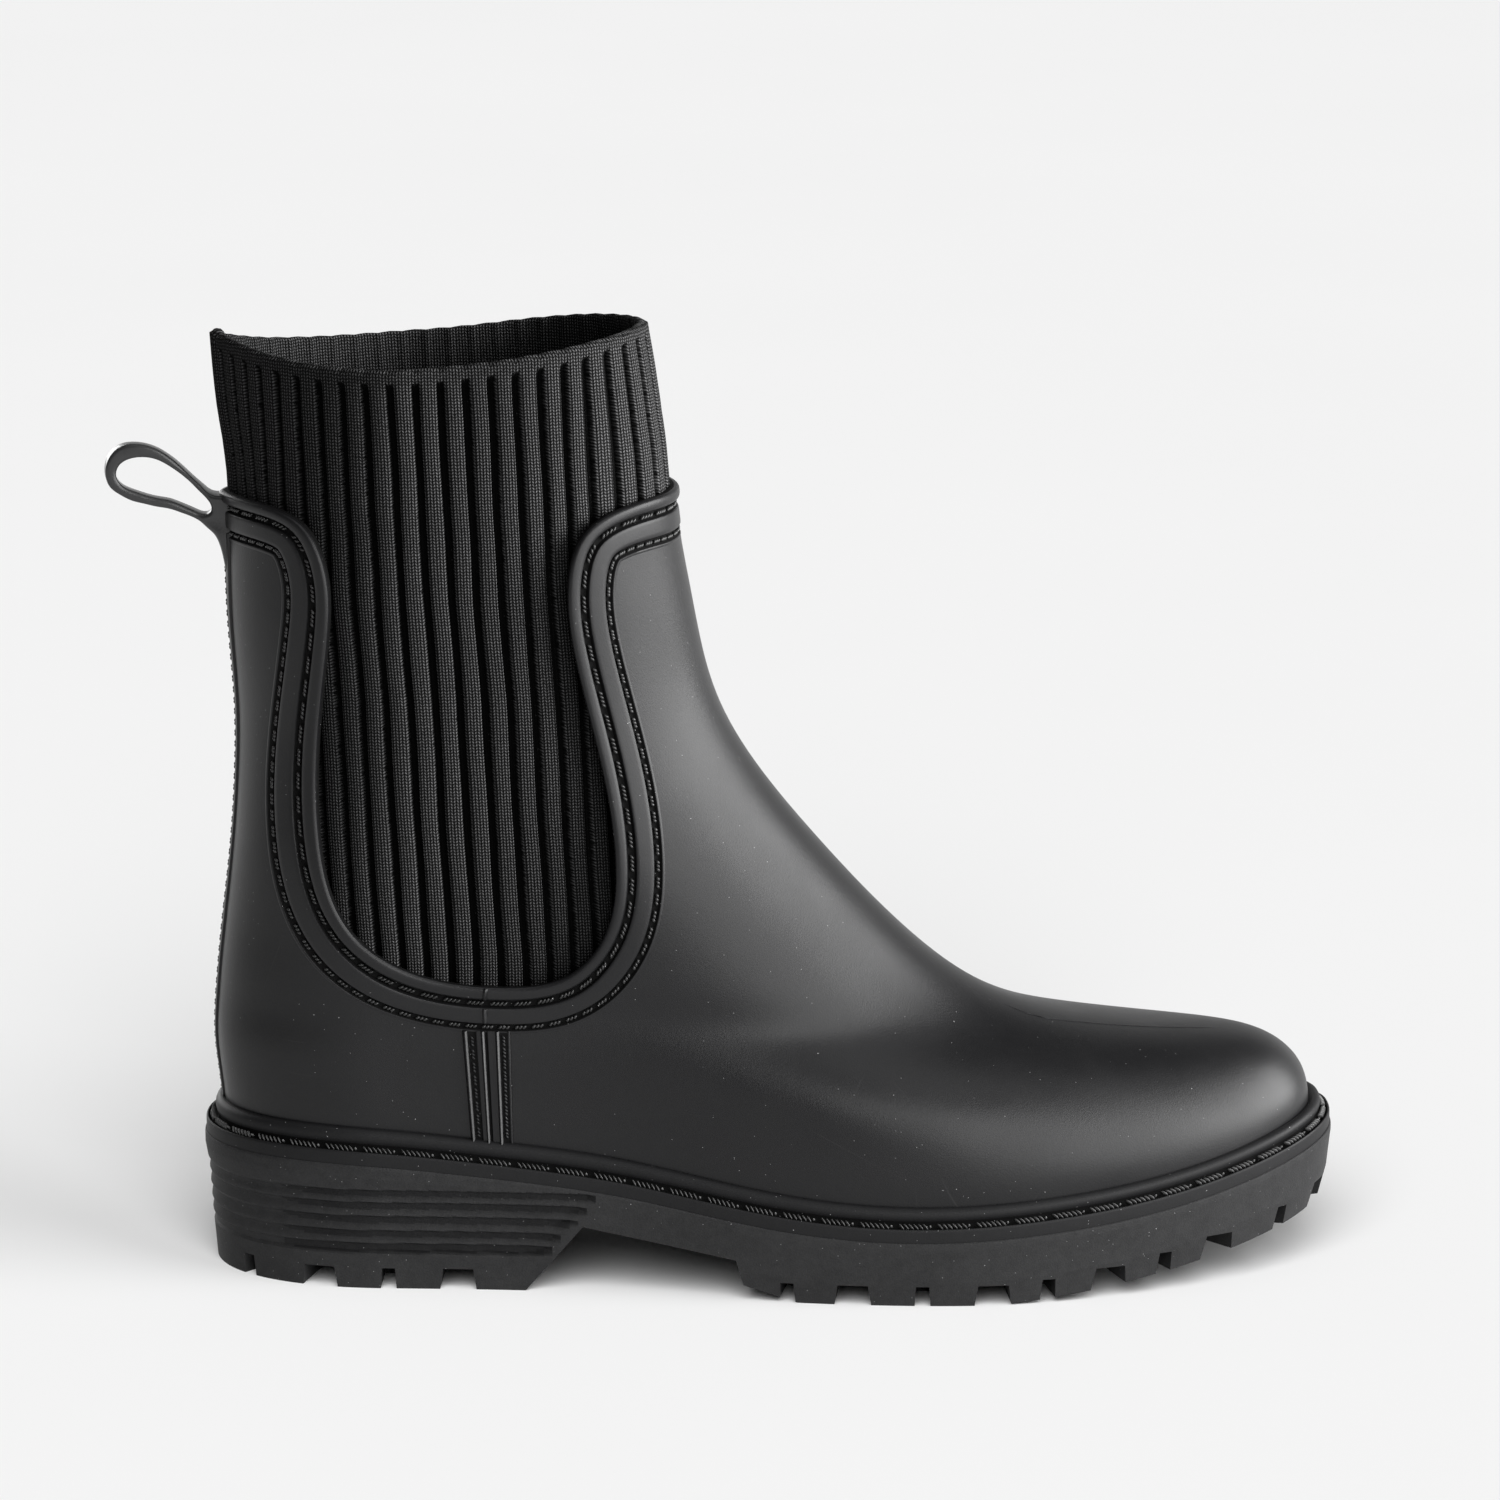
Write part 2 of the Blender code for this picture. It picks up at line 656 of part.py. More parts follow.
def heel_groove(z, tools):
    """A V groove round the heel block, ending at the slant of its front."""
    front = HEEL_BREAST + (BREAST_TOP - HEEL_BREAST) * z / ARCH_HEIGHT
    dense = wall_ring(z / float(seat_z(40.0)))
    dense[:, 2] = z
    frames = edge_frames(dense)
    order = list(range(SOLE_AROUND // 2, SOLE_AROUND)) + list(range(SOLE_AROUND // 2))
    kept = [i for i in order if dense[i, 0] < front]
    path = [dense[i] for i in kept]
    directions = [frames[i] for i in kept]
    for end, neighbour in ((0, 1), (-1, -2)):
        run = path[end] - path[neighbour]
        path[end] = path[end] + run * (front - path[end][0]) / run[0]
    profile = [(-GROOVE_DEPTH, 0.0), (2.0, -GROOVE_HALF * 4), (2.0, GROOVE_HALF * 4)]
    groove = sweep(f"heel_groove_{z:.0f}", path, directions, profile, tools)
    hide_as_tool(groove)


def half_edge(side):
    """One side of the tread's edge from the back centre to the toe: points, inward ways, lengths along."""
    fine = ring(0.0, 2 * DENSE)
    out = flat_outward(fine)
    edge = fine + (RIM - SOLE_DRAFT) * out
    picked = np.arange(DENSE + 1) if side < 0 else -np.arange(DENSE + 1)
    points, ways = edge[picked], -out[picked]
    along = np.concatenate([[0], np.cumsum(np.linalg.norm(np.diff(points, axis=0), axis=1))])
    return points, ways, along


def edge_place(side, x, distance):
    """The point a distance along the tread's edge from where it passes x, and the way inwards."""
    points, ways, along = half_edge(side)
    at = np.interp(x, points[:, 0], along) + distance
    point = np.array([np.interp(at, along, points[:, k]) for k in range(3)])
    way = np.array([np.interp(at, along, ways[:, k]) for k in range(3)])
    return point, way / np.linalg.norm(way)


def block(name, size, collection, splay=1.0):
    """A box whose lower face is wider than its upper one by the splay."""
    bm = bmesh.new()
    bmesh.ops.create_cube(bm, size=1.0)
    bmesh.ops.scale(bm, vec=np.array(size) * MM, verts=bm.verts)
    low = [v for v in bm.verts if v.co.z < 0]
    bmesh.ops.scale(bm, vec=(1, splay, 1), verts=low)
    made = new_object(name, bm, collection)
    hide_as_tool(made)
    return made


def tread_slot(name, side, run, index, tools):
    """A slot from the sole's edge inwards, with its roof LUG_DEPTH over the tread."""
    point, way = edge_place(side, run.x, run.pitch * index)
    wide = (index + run.first_wide) % 2 == 1
    width, length = (WIDE_SLOT, TREAD_BAND + 4) if wide else (NARROW_SLOT, TREAD_BAND - 6)
    height, overhang = 2 * LUG_DEPTH, 6.0
    slot = block(name, (length + overhang, width, height), tools, SLOT_SPLAY)
    middle = point + way * (length - overhang) / 2
    x = middle[0]
    middle[2] = tread_z(x)
    slope = float(tread_z(x + 4) - tread_z(x - 4)) / 8
    slot.location = middle * MM
    slot.rotation_euler = (0, -math.atan(slope * way[0]), math.atan2(way[1], way[0]))


def cross_outline(arm):
    """A cross of two bars at right angles, turned by an eighth of a circle."""
    bar = CROSS_BAR / 2
    corner = [(arm, -bar), (arm, bar), (bar, bar)]
    points = []
    for quarter in range(4):
        turn = math.radians(45 + 90 * quarter)
        points += [
            (x * math.cos(turn) - y * math.sin(turn), x * math.sin(turn) + y * math.cos(turn))
            for x, y in corner
        ]
    return points


def slab(name, outline, low, high, collection):
    """A plan outline of x and y between two heights over the tread, following its spring."""
    bm = bmesh.new()
    rings = [[(x, y, float(tread_z(x)) + height) for x, y in outline] for height in (low, high)]
    rows = add_rings(bm, rings)
    skin(bm, rows)
    for row in rows:
        bm.faces.new(row)
    bmesh.ops.triangulate(bm, faces=[f for f in bm.faces if len(f.verts) > 4])
    made = new_object(name, bm, collection)
    hide_as_tool(made)
    return made


def tread_recess(pad, cutters, lugs):
    """The hollow inside the ring of edge lugs, leaving a row of crosses that reach the floor."""
    x = np.linspace(pad.back, pad.front, 9)
    sides = []
    for side in (-1, 1):
        points = half_edge(side)[0]
        sides.append(np.interp(x, points[:, 0], points[:, 1]) - side * TREAD_BAND)
    outer, inner = sides
    outline = list(zip(x, outer)) + list(zip(x[::-1], inner[::-1]))
    recess = slab(f"recess_{pad.back:.0f}", outline, -LUG_DEPTH, LUG_DEPTH, cutters)
    step = (pad.front - pad.back) / pad.crosses
    for index in range(pad.crosses):
        middle = pad.back + step * (index + 0.5)
        near, far = np.interp(middle, x, outer), np.interp(middle, x, inner)
        arm = CROSS_REACH * min(far - near, step)
        cross = [(middle + dx, (near + far) / 2 + dy) for dx, dy in cross_outline(arm)]
        lug = slab(f"cross_{middle:.0f}", cross, -2 * LUG_DEPTH, 2 * LUG_DEPTH, lugs)
        boolean(recess, "DIFFERENCE", lug)


def make_outsole(parts, cutters, lugs):
    """The lugged sole with its heel block: outline, draft, arch, heel grooves, edge and middle lugs."""
    sole = loft("outsole", [wall_ring(point.share) for point in SOLE_WALL], parts)
    sole.modifiers.new("flat_faces", "TRIANGULATE")
    arch = [
        (HEEL_BREAST, 0.0),
        (BREAST_TOP, ARCH_HEIGHT),
        (BALL_STEP, 10.4),
        (BALL_STEP + 1.8, 4.0),
        (FOREFOOT_START, 0.0),
        (FOREFOOT_START, -20.0),
        (HEEL_BREAST - 12.0, -20.0),
    ]
    hide_as_tool(prism("arch_cut", arch, 80.0, cutters))
    for z in HEEL_GROOVES:
        heel_groove(z, cutters)
    for pad in TREAD_PADS:
        tread_recess(pad, cutters, lugs)
    for side, word in ((-1, "outer"), (1, "inner")):
        for run in SLOT_RUNS:
            for index in range(run.count):
                tread_slot(f"slot_{word}_{run.x:.0f}_{index}", side, run, index, cutters)
    boolean_all(sole, "DIFFERENCE", cutters)
    return sole


def make_insole(parts):
    inner = form(np.array([0.0, 0.35]), SOLE_AROUND)
    inner = inner - (WALL + INSOLE_PLAY) * normals(form(np.array([0.0, 0.35, 0.7]), SOLE_AROUND))[:2]
    low, high = inner
    low[:, 2] = seat_z(low[:, 0]) + GAP
    high[:, 2] = seat_z(high[:, 0]) + GAP + INSOLE_THICKNESS
    return loft("insole", [low, high], parts)


def make_pull_loop(parts):
    """A flat rubber outline with a finger hole, extruded to the strap's width."""
    curve = bpy.data.curves.new("pull_loop", "CURVE")
    curve.dimensions = "2D"
    curve.fill_mode = "BOTH"
    curve.extrude = LOOP_WIDTH / 2 * MM
    for table in (LOOP_OUTER, LOOP_HOLE):
        points = smooth_path(table, LOOP_STEP, closed=True)
        spline = curve.splines.new("POLY")
        spline.points.add(len(points) - 1)
        spline.use_cyclic_u = True
        for place, (x, z) in zip(spline.points, points):
            place.co = (x * MM, z * MM, 0.0, 1.0)
    made = bpy.data.objects.new("pull_loop", curve)
    made.rotation_euler = (math.pi / 2, 0, 0)
    parts.objects.link(made)
    return made


def finish(made, frame, look):
    made.parent = frame
    made.data.materials.append(look)


def centre_on_floor(parts, frame):
    """Moves the whole boot so that its bounding box stands centred on the origin."""
    bpy.context.view_layer.update()
    graph = bpy.context.evaluated_depsgraph_get()
    corners = []
    for made in parts.objects:
        solid = made.evaluated_get(graph)
        corners += [solid.matrix_world @ vertex.co for vertex in solid.to_mesh().vertices]
        solid.to_mesh_clear()
    low = [min(corner[k] for corner in corners) for k in range(3)]
    high = [max(corner[k] for corner in corners) for k in range(3)]
    frame.location = (-(low[0] + high[0]) / 2, -(low[1] + high[1]) / 2, -low[2])


def main():
    for old in list(bpy.data.objects):
        bpy.data.objects.remove(old)
    scene = bpy.context.scene.collection
    groups = {}
    for name in ("chelsea_rain_boot", "moulds", "raised_strips", "tread_tools", "middle_lugs"):
        groups[name] = bpy.data.collections.new(name)
        scene.children.link(groups[name])
    parts, tools = groups["chelsea_rain_boot"], groups["moulds"]

    rubber = material("moulded_rubber", RUBBER, 0.42)
    sole_rubber = material("sole_rubber", SOLE_RUBBER, 0.7)
    knit = material("rib_knit", KNIT, 0.95)
    lining = material("insole_felt", LINING, 0.95)

    frame = bpy.data.objects.new("boot_frame", None)
    scene.objects.link(frame)
    finish(make_outsole(parts, groups["tread_tools"], groups["middle_lugs"]), frame, sole_rubber)
    finish(make_welt(parts), frame, sole_rubber)
    finish(make_insole(parts), frame, lining)
    finish(make_upper(parts, groups["raised_strips"], tools), frame, rubber)
    finish(make_knit_shaft(parts), frame, knit)
    finish(make_pull_loop(parts), frame, rubber)
    for tool_group in ("moulds", "raised_strips", "tread_tools", "middle_lugs"):
        for tool in groups[tool_group].objects:
            tool.parent = frame
    centre_on_floor(parts, frame)


main()
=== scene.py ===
import json
import math
from collections import namedtuple

import bmesh
import bpy
import numpy as np
from mathutils import Matrix, Vector

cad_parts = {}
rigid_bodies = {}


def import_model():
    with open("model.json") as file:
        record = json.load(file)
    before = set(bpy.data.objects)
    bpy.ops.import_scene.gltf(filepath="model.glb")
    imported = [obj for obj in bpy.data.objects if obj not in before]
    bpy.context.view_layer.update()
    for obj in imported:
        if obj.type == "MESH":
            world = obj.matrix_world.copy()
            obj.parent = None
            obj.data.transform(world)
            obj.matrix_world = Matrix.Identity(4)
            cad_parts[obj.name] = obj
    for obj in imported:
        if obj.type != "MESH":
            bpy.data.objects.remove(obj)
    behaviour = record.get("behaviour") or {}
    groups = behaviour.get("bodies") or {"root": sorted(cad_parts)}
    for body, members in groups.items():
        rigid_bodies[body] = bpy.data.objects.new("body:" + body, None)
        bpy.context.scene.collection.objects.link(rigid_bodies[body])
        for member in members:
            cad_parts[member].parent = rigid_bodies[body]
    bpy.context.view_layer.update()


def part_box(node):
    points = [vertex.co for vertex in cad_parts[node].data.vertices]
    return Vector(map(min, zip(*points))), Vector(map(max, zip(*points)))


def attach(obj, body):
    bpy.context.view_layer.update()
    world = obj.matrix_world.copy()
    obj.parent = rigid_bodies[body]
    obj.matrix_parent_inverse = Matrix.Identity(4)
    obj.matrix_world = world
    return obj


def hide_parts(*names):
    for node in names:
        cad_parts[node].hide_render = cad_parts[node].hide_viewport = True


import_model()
mm = 0.001

# shape tables are in millimetres from the back of the heel; this brings them to the row's frame
loopLow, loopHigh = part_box("pull_loop")
shift = np.array([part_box("welt")[0].x / mm - 0.2, (loopLow.y + loopHigh.y) / 2 / mm, 0.0])


def toWorld(points):
    return (np.asarray(points, float) + shift) * mm


EdgePoint = namedtuple("EdgePoint", "x z")
Section = namedtuple(
    "Section", "backX backZ frontX frontZ plan half toeRound toePower heelRound heelPower sag")

# side profile, plan and sections of the last
last = {
    "length": 277.0,
    "weltHeight": 3.2,
    "gap": 0.3,
    "springFrom": 188.0,
    "spring": 15.0,
    "springPower": 1.6,
    # top of the welt in side view: x, z
    "weltLine": [
        (0, 35.5), (38, 35.1), (75, 31.9), (104, 28.4), (135, 22.9), (172, 19.8), (205, 21.4), (240, 26.0),
        (277, 35.0),
    ],
    # x, half width, swing of the middle line
    "plan": [
        (0, 29.0, 0.0), (45, 29.6, -0.6), (105, 31.4, -3.2), (150, 39.6, -2.6), (188, 43.8, -0.4),
        (235, 44.0, 4.0), (277, 44.0, 8.0),
    ],
    # from the feather edge up to the collar
    "sections": [
        Section(5.6, 32.6, 272.6, 32.1, 1.00, 0.0, 92, 2.3, 40, 2.2, 1.00),
        Section(5.0, 43.0, 272.0, 42.2, 1.03, 0.0, 92, 2.3, 40, 2.2, 0.96),
        Section(4.0, 52.0, 268.4, 50.2, 1.03, 0.0, 100, 2.2, 40, 2.2, 0.85),
        Section(3.7, 59.0, 259.0, 57.2, 1.00, 1.0, 120, 2.1, 40, 2.2, 0.68),
        Section(4.1, 66.5, 240.6, 60.9, 0.90, 4.0, 135, 2.0, 41, 2.1, 0.48),
        Section(4.9, 75.0, 213.4, 63.9, 0.74, 9.2, 129, 2.0, 42, 2.1, 0.30),
        Section(6.0, 85.0, 190.2, 70.2, 0.50, 17.5, 92, 2.0, 43, 2.0, 0.15),
        Section(7.4, 96.0, 170.0, 84.6, 0.24, 26.6, 68, 2.0, 44, 2.0, 0.05),
        Section(8.7, 108.0, 151.9, 103.0, 0.06, 32.8, 57, 2.0, 45, 2.0, 0.0),
        Section(9.6, 121.5, 135.8, 123.0, 0.0, 34.6, 51, 2.0, 46, 1.9, 0.0),
        Section(9.8, 140.0, 125.3, 143.0, 0.0, 34.2, 47, 2.0, 46, 1.8, 0.0),
        Section(8.4, 163.0, 120.1, 166.0, 0.0, 34.4, 44, 2.0, 46, 1.7, 0.0),
        Section(7.4, 189.3, 116.4, 190.2, 0.0, 34.8, 42, 2.0, 46, 1.5, 0.0),
        Section(3.7, 209.0, 116.4, 211.5, 0.0, 34.6, 40, 1.9, 48, 1.25, 0.0),
        Section(1.7, 228.5, 113.1, 231.4, 0.0, 34.2, 38, 1.8, 50, 1.0, 0.0),
    ],
}


def spline(xs, ys):
    # natural cubic through the points
    xs, ys = np.asarray(xs, float), np.asarray(ys, float)
    span = np.diff(xs)
    count = len(xs)
    matrix, right = np.eye(count), np.zeros(count)
    for i in range(1, count - 1):
        matrix[i, i - 1:i + 2] = span[i - 1], 2 * (span[i - 1] + span[i]), span[i]
        right[i] = 6 * ((ys[i + 1] - ys[i]) / span[i] - (ys[i] - ys[i - 1]) / span[i - 1])
    bend = np.linalg.solve(matrix, right)

    def value(x):
        x = np.asarray(x, float)
        i = np.clip(np.searchsorted(xs, x) - 1, 0, count - 2)
        a, b, h = xs[i + 1] - x, x - xs[i], span[i]
        curve = (bend[i] * a**3 + bend[i + 1] * b**3) / (6 * h)
        return curve + (ys[i] / h - bend[i] * h / 6) * a + (ys[i + 1] / h - bend[i + 1] * h / 6) * b

    return value


def lengthsAlong(points):
    return np.concatenate([[0], np.cumsum(np.linalg.norm(np.diff(points, axis=0), axis=1))])


def sidePath(table, step, closed=False):
    # smooth line through side-view points
    rows = table[-3:] + table + table[:4] if closed else table
    points = np.array(rows, float)
    along = lengthsAlong(points[:, :2])
    first, end = (along[3], along[-4]) if closed else (along[0], along[-1])
    at = np.linspace(first, end, max(8, round((end - first) / step)) + 1)
    line = np.stack([spline(along, points[:, k])(at) for k in range(points.shape[1])], axis=1)
    return line[:-1] if closed else line


def ease(value, low, high):
    share = np.clip((np.asarray(value, float) - low) / (high - low), 0, 1)
    return share * share * (3 - 2 * share)


weltZ = spline(*zip(*last["weltLine"]))
planX, planHalves, planSwings = zip(*last["plan"])
planHalf, planSwing = spline(planX, planHalves), spline(planX, planSwings)
sectionSplines = {
    name: spline(range(len(last["sections"])), [getattr(row, name) for row in last["sections"]])
    for name in Section._fields
}


def seatZ(x):
    return weltZ(np.clip(x, 0, last["length"])) - last["weltHeight"] - last["gap"]


def treadZ(x):
    run = last["length"] - last["springFrom"]
    share = np.clip((np.asarray(x, float) - last["springFrom"]) / run, 0, 1)
    return last["spring"] * share ** last["springPower"]


def roundedEnd(distance, length, power):
    share = np.clip(distance / length, 0, 1)
    return (1 - (1 - share) ** (1 + power / 2)) ** (1 / power)


def sectionLine(level, share):
    # middle line, half width and height along one section of the last
    row = Section(*[float(sectionSplines[name](level)) for name in Section._fields])
    feather = last["sections"][0]
    reach = row.frontX - row.backX
    x = row.backX + reach * share
    half = row.plan * planHalf(x) + row.half
    half = half * roundedEnd(share * reach, row.heelRound, row.heelPower)
    half = half * roundedEnd((1 - share) * reach, row.toeRound, row.toePower)
    middle = min(row.plan, 1.0) * planSwing(x)
    chord = feather.backZ + (
        (feather.frontZ - feather.backZ) * (x - feather.backX) / (feather.frontX - feather.backX))
    z = row.backZ + (row.frontZ - row.backZ) * share + row.sag * (seatZ(x) + last["gap"] - chord)
    return x, middle, half, z


# the form as a fine lattice: u runs 0 to 1 along the outer side from back to front,
# and 1 to 2 back along the inner side
levelStep, topLevel = 0.05, 14.4
halfCount, denseCount = 320, 241
levels = np.arange(0, topLevel, levelStep)
dense = (1 - np.cos(np.linspace(0, math.pi, denseCount))) / 2
lattice, sideLength = [], []
for level in levels:
    x, middle, half, z = sectionLine(level, dense)
    halves = []
    for side in (-1, 1):
        line = np.stack([x, middle + side * half, z], axis=1)
        along = lengthsAlong(line)
        at = np.linspace(0, along[-1], halfCount + 1)
        halves.append(np.stack([np.interp(at, along, line[:, k]) for k in range(3)], axis=1))
    sideLength.append(along[-1])
    lattice.append(np.concatenate([halves[0][:-1], halves[1][:0:-1]]))
lattice, sideLength = np.array(lattice), np.array(sideLength)
around = np.roll(lattice, -1, axis=1) - np.roll(lattice, 1, axis=1)
latticeNormals = np.cross(around, np.gradient(lattice, axis=0))
latticeNormals /= np.linalg.norm(latticeNormals, axis=2)[:, :, None]


def onForm(u, level, rise=0.0):
    # a point of the last's skin, raised along its normal
    u = np.mod(np.asarray(u, float), 2.0) * halfCount
    v = np.clip(np.asarray(level, float) / levelStep, 0, len(levels) - 1.001)
    i, j = np.floor(v).astype(int), np.floor(u).astype(int)
    fv, fu = (v - i)[..., None], (u - j)[..., None]
    j, k = j % (2 * halfCount), (j + 1) % (2 * halfCount)

    def mix(grid):
        low = grid[i, j] * (1 - fu) + grid[i, k] * fu
        high = grid[i + 1, j] * (1 - fu) + grid[i + 1, k] * fu
        return low * (1 - fv) + high * fv

    normal = mix(latticeNormals)
    normal /= np.linalg.norm(normal, axis=-1)[..., None]
    return mix(lattice) + np.asarray(rise, float)[..., None] * normal, normal


def findOnForm(x, z, side):
    # u and level of side-view points
    x, z = np.asarray(x, float), np.asarray(z, float)
    if side < 0:
        rows = lattice[:, :halfCount + 1]
    else:
        rows = np.concatenate([lattice[:, halfCount:], lattice[:, :1]], axis=1)[:, ::-1]
    shares = np.linspace(0, 1, halfCount + 1)
    heights = np.array([np.interp(x, row[:, 0], row[:, 2]) for row in rows])
    places = np.array([np.interp(x, row[:, 0], shares) for row in rows])
    level = np.array([np.interp(z[k], heights[:, k], levels) for k in range(len(x))])
    share = np.array([np.interp(level[k], levels, places[:, k]) for k in range(len(x))])
    return (share if side < 0 else 2 - share), level


print("last ready")


def bentGrid(columns, rows, place, marks=None, tone=None):
    # a flat grid bent into shape, its seams closed; tone picks each face's material
    bm = bmesh.new()
    bmesh.ops.create_grid(bm, x_segments=columns, y_segments=rows, size=0.5)
    flat = np.array([v.co for v in bm.verts])
    low, high = flat.min(axis=0), flat.max(axis=0)
    a, b = ((flat[:, k] - low[k]) / (high[k] - low[k]) for k in (0, 1))
    bm.verts.index_update()
    if tone is not None:
        for face in bm.faces:
            corners = [v.index for v in face.verts]
            face.material_index = int(tone(a[corners].mean(), b[corners].mean()))
    for v, point in zip(bm.verts, toWorld(place(a, b))):
        v.co = point
    if marks is not None:
        layer = bm.loops.layers.uv.new("weave")
        pairs = np.stack(marks(a, b), axis=1)
        for face in bm.faces:
            for loop in face.loops:
                loop[layer].uv = pairs[loop.vert.index]
    bmesh.ops.remove_doubles(bm, verts=bm.verts, dist=2e-6)
    bmesh.ops.dissolve_degenerate(bm, dist=1e-7, edges=bm.edges)
    bmesh.ops.recalc_face_normals(bm, faces=bm.faces)
    return bm


def profilePlace(profile, share):
    # profile rows for shares of the way round it
    return np.asarray(profile)[np.round(share * len(profile)).astype(int) % len(profile)]


def paintedLightTone(profile, below, highlightAbove=None):
    # picks the parts of a profile that lie under a height, which get painted shade, and if asked its high
    # falling flanks, which get a painted highlight
    heights = np.array(profile)[:, 1]
    after = np.roll(heights, -1)
    tones = np.where((heights + after) / 2 < below, 1, 0)
    if highlightAbove is not None:
        tones[(heights > after) & ((heights + after) / 2 > highlightAbove)] = 2

    def pick(share):
        return tones[int(share * len(heights)) % len(heights)]

    return pick


def closeEnds(bm):
    bmesh.ops.holes_fill(bm, edges=[e for e in bm.edges if e.is_boundary])
    bmesh.ops.recalc_face_normals(bm, faces=bm.faces)
    return bm


def meshObject(name, *parts):
    whole = bmesh.new()
    for bm in parts:
        part = bpy.data.meshes.new(name)
        bm.to_mesh(part)
        bm.free()
        whole.from_mesh(part)
        bpy.data.meshes.remove(part)
    mesh = bpy.data.meshes.new(name)
    whole.to_mesh(mesh)
    whole.free()
    made = bpy.data.objects.new(name, mesh)
    bpy.context.scene.collection.objects.link(made)
    return made


def bakeModifiers(made, tools=()):
    # the evaluated shape becomes the object's own mesh
    view = bpy.context.evaluated_depsgraph_get()
    mesh = bpy.data.meshes.new_from_object(made.evaluated_get(view))
    made.modifiers.clear()
    made.data = mesh
    for tool in tools:
        bpy.data.objects.remove(tool)
    return made


def addBoolean(made, tool):
    cut = made.modifiers.new("cut", "BOOLEAN")
    cut.operation = "DIFFERENCE"
    cut.solver = "EXACT"
    if isinstance(tool, bpy.types.Collection):
        cut.operand_type = "COLLECTION"
        cut.collection = tool
    else:
        cut.object = tool


def pullFace(bm, outline, way):
    # a flat outline drawn out into a closed block
    face = bm.faces.new([bm.verts.new(toWorld(point)) for point in outline])
    pulled = bmesh.ops.extrude_face_region(bm, geom=[face])
    moved = [g for g in pulled["geom"] if isinstance(g, bmesh.types.BMVert)]
    bmesh.ops.translate(bm, vec=way, verts=moved)
    bmesh.ops.recalc_face_normals(bm, faces=bm.faces)


def makeBead():
    bm = bmesh.new()
    bmesh.ops.create_uvsphere(bm, u_segments=7, v_segments=5, radius=0.5)
    mesh = bpy.data.meshes.new("bead")
    bm.to_mesh(mesh)
    bm.free()
    return mesh


bead = makeBead()


def addBeads(bm, points, alongs, normals, size, slant=0.0):
    # small rounded stitches laid along a line, turned in the surface by the slant
    for point, along, normal in zip(points, alongs, normals):
        normal = Vector(normal).normalized()
        along = (Vector(along) - normal * normal.dot(Vector(along))).normalized()
        along = Matrix.Rotation(slant, 3, normal) @ along
        across = normal.cross(along)
        axes = (along * size[0] * mm, across * size[1] * mm, normal * size[2] * mm)
        turn = Matrix(axes).transposed().to_4x4()
        turn.translation = Vector(toWorld(point))
        mesh = bead.copy()
        mesh.transform(turn)
        bm.from_mesh(mesh)
        bpy.data.meshes.remove(mesh)


def newGroup(name, inputs, outputs):
    group = bpy.data.node_groups.new(name, "ShaderNodeTree")
    for label, kind, value in inputs:
        socket = group.interface.new_socket(label, in_out="INPUT", socket_type=kind)
        if value is not None:
            socket.default_value = value
    for label, kind in outputs:
        group.interface.new_socket(label, in_out="OUTPUT", socket_type=kind)
    return group, group.nodes.new("NodeGroupInput"), group.nodes.new("NodeGroupOutput")


def addMath(tree, operation, first, second=0.0, third=None):
    node = tree.nodes.new("ShaderNodeMath")
    node.operation = operation
    for slot, value in enumerate((first, second, third)):
        if value is None:
            continue
        if isinstance(value, (int, float)):
            node.inputs[slot].default_value = value
        else:
            tree.links.new(value, node.inputs[slot])
    return node.outputs[0]


def addNoise(tree, vector, scale, detail=3.0, roughness=0.55):
    node = tree.nodes.new("ShaderNodeTexNoise")
    tree.links.new(vector, node.inputs["Vector"])
    node.inputs["Scale"].default_value = scale
    node.inputs["Detail"].default_value = detail
    node.inputs["Roughness"].default_value = roughness
    return node.outputs[0]


def addRange(tree, value, low, high, toLow=0.0, toHigh=1.0):
    node = tree.nodes.new("ShaderNodeMapRange")
    tree.links.new(value, node.inputs[0])
    for slot, number in enumerate((low, high, toLow, toHigh), start=1):
        node.inputs[slot].default_value = number
    return node.outputs[0]


patterns = {
    # noise scales: skin, unevenness of the skin, slow cloud
    "grain": (2600, 420, 38),
    # cells to the metre, size of a speck
    "specks": [(330, 0.05), (800, 0.085)],
    # cells to the metre, width of a line, where a noise breaks it
    "scratches": [(24, 0.0035, 0.56), (43, 0.005, 0.6)],
}


def makeGrain():
    # fine moulded skin with a slow unevenness
    group, take, give = newGroup(
        "mouldedGrain", [("Vector", "NodeSocketVector", None)],
        [("Height", "NodeSocketFloat"), ("Cloud", "NodeSocketFloat")])
    details = (3.0, 2.0, 4.0)
    fine, mid, cloud = (
        addNoise(group, take.outputs[0], scale, detail) for scale, detail in zip(patterns["grain"], details))
    group.links.new(addMath(group, "MULTIPLY_ADD", mid, 0.6, fine), give.inputs[0])
    group.links.new(cloud, give.inputs[1])
    return group


def makeDust():
    # sparse pale specks of two sizes
    group, take, give = newGroup(
        "dustSpecks", [("Vector", "NodeSocketVector", None), ("Amount", "NodeSocketFloat", 0.5)],
        [("Specks", "NodeSocketFloat")])
    masks = []
    for scale, size in patterns["specks"]:
        cells = group.nodes.new("ShaderNodeTexVoronoi")
        cells.inputs["Scale"].default_value = scale
        group.links.new(take.outputs[0], cells.inputs["Vector"])
        near = addRange(group, cells.outputs["Distance"], size, size * 0.4)
        split = group.nodes.new("ShaderNodeSeparateColor")
        group.links.new(cells.outputs["Color"], split.inputs[0])
        chosen = addMath(group, "LESS_THAN", split.outputs[0], take.outputs[1])
        masks.append(addMath(group, "MULTIPLY", near, chosen))
    group.links.new(addMath(group, "MAXIMUM", *masks), give.inputs[0])
    return group


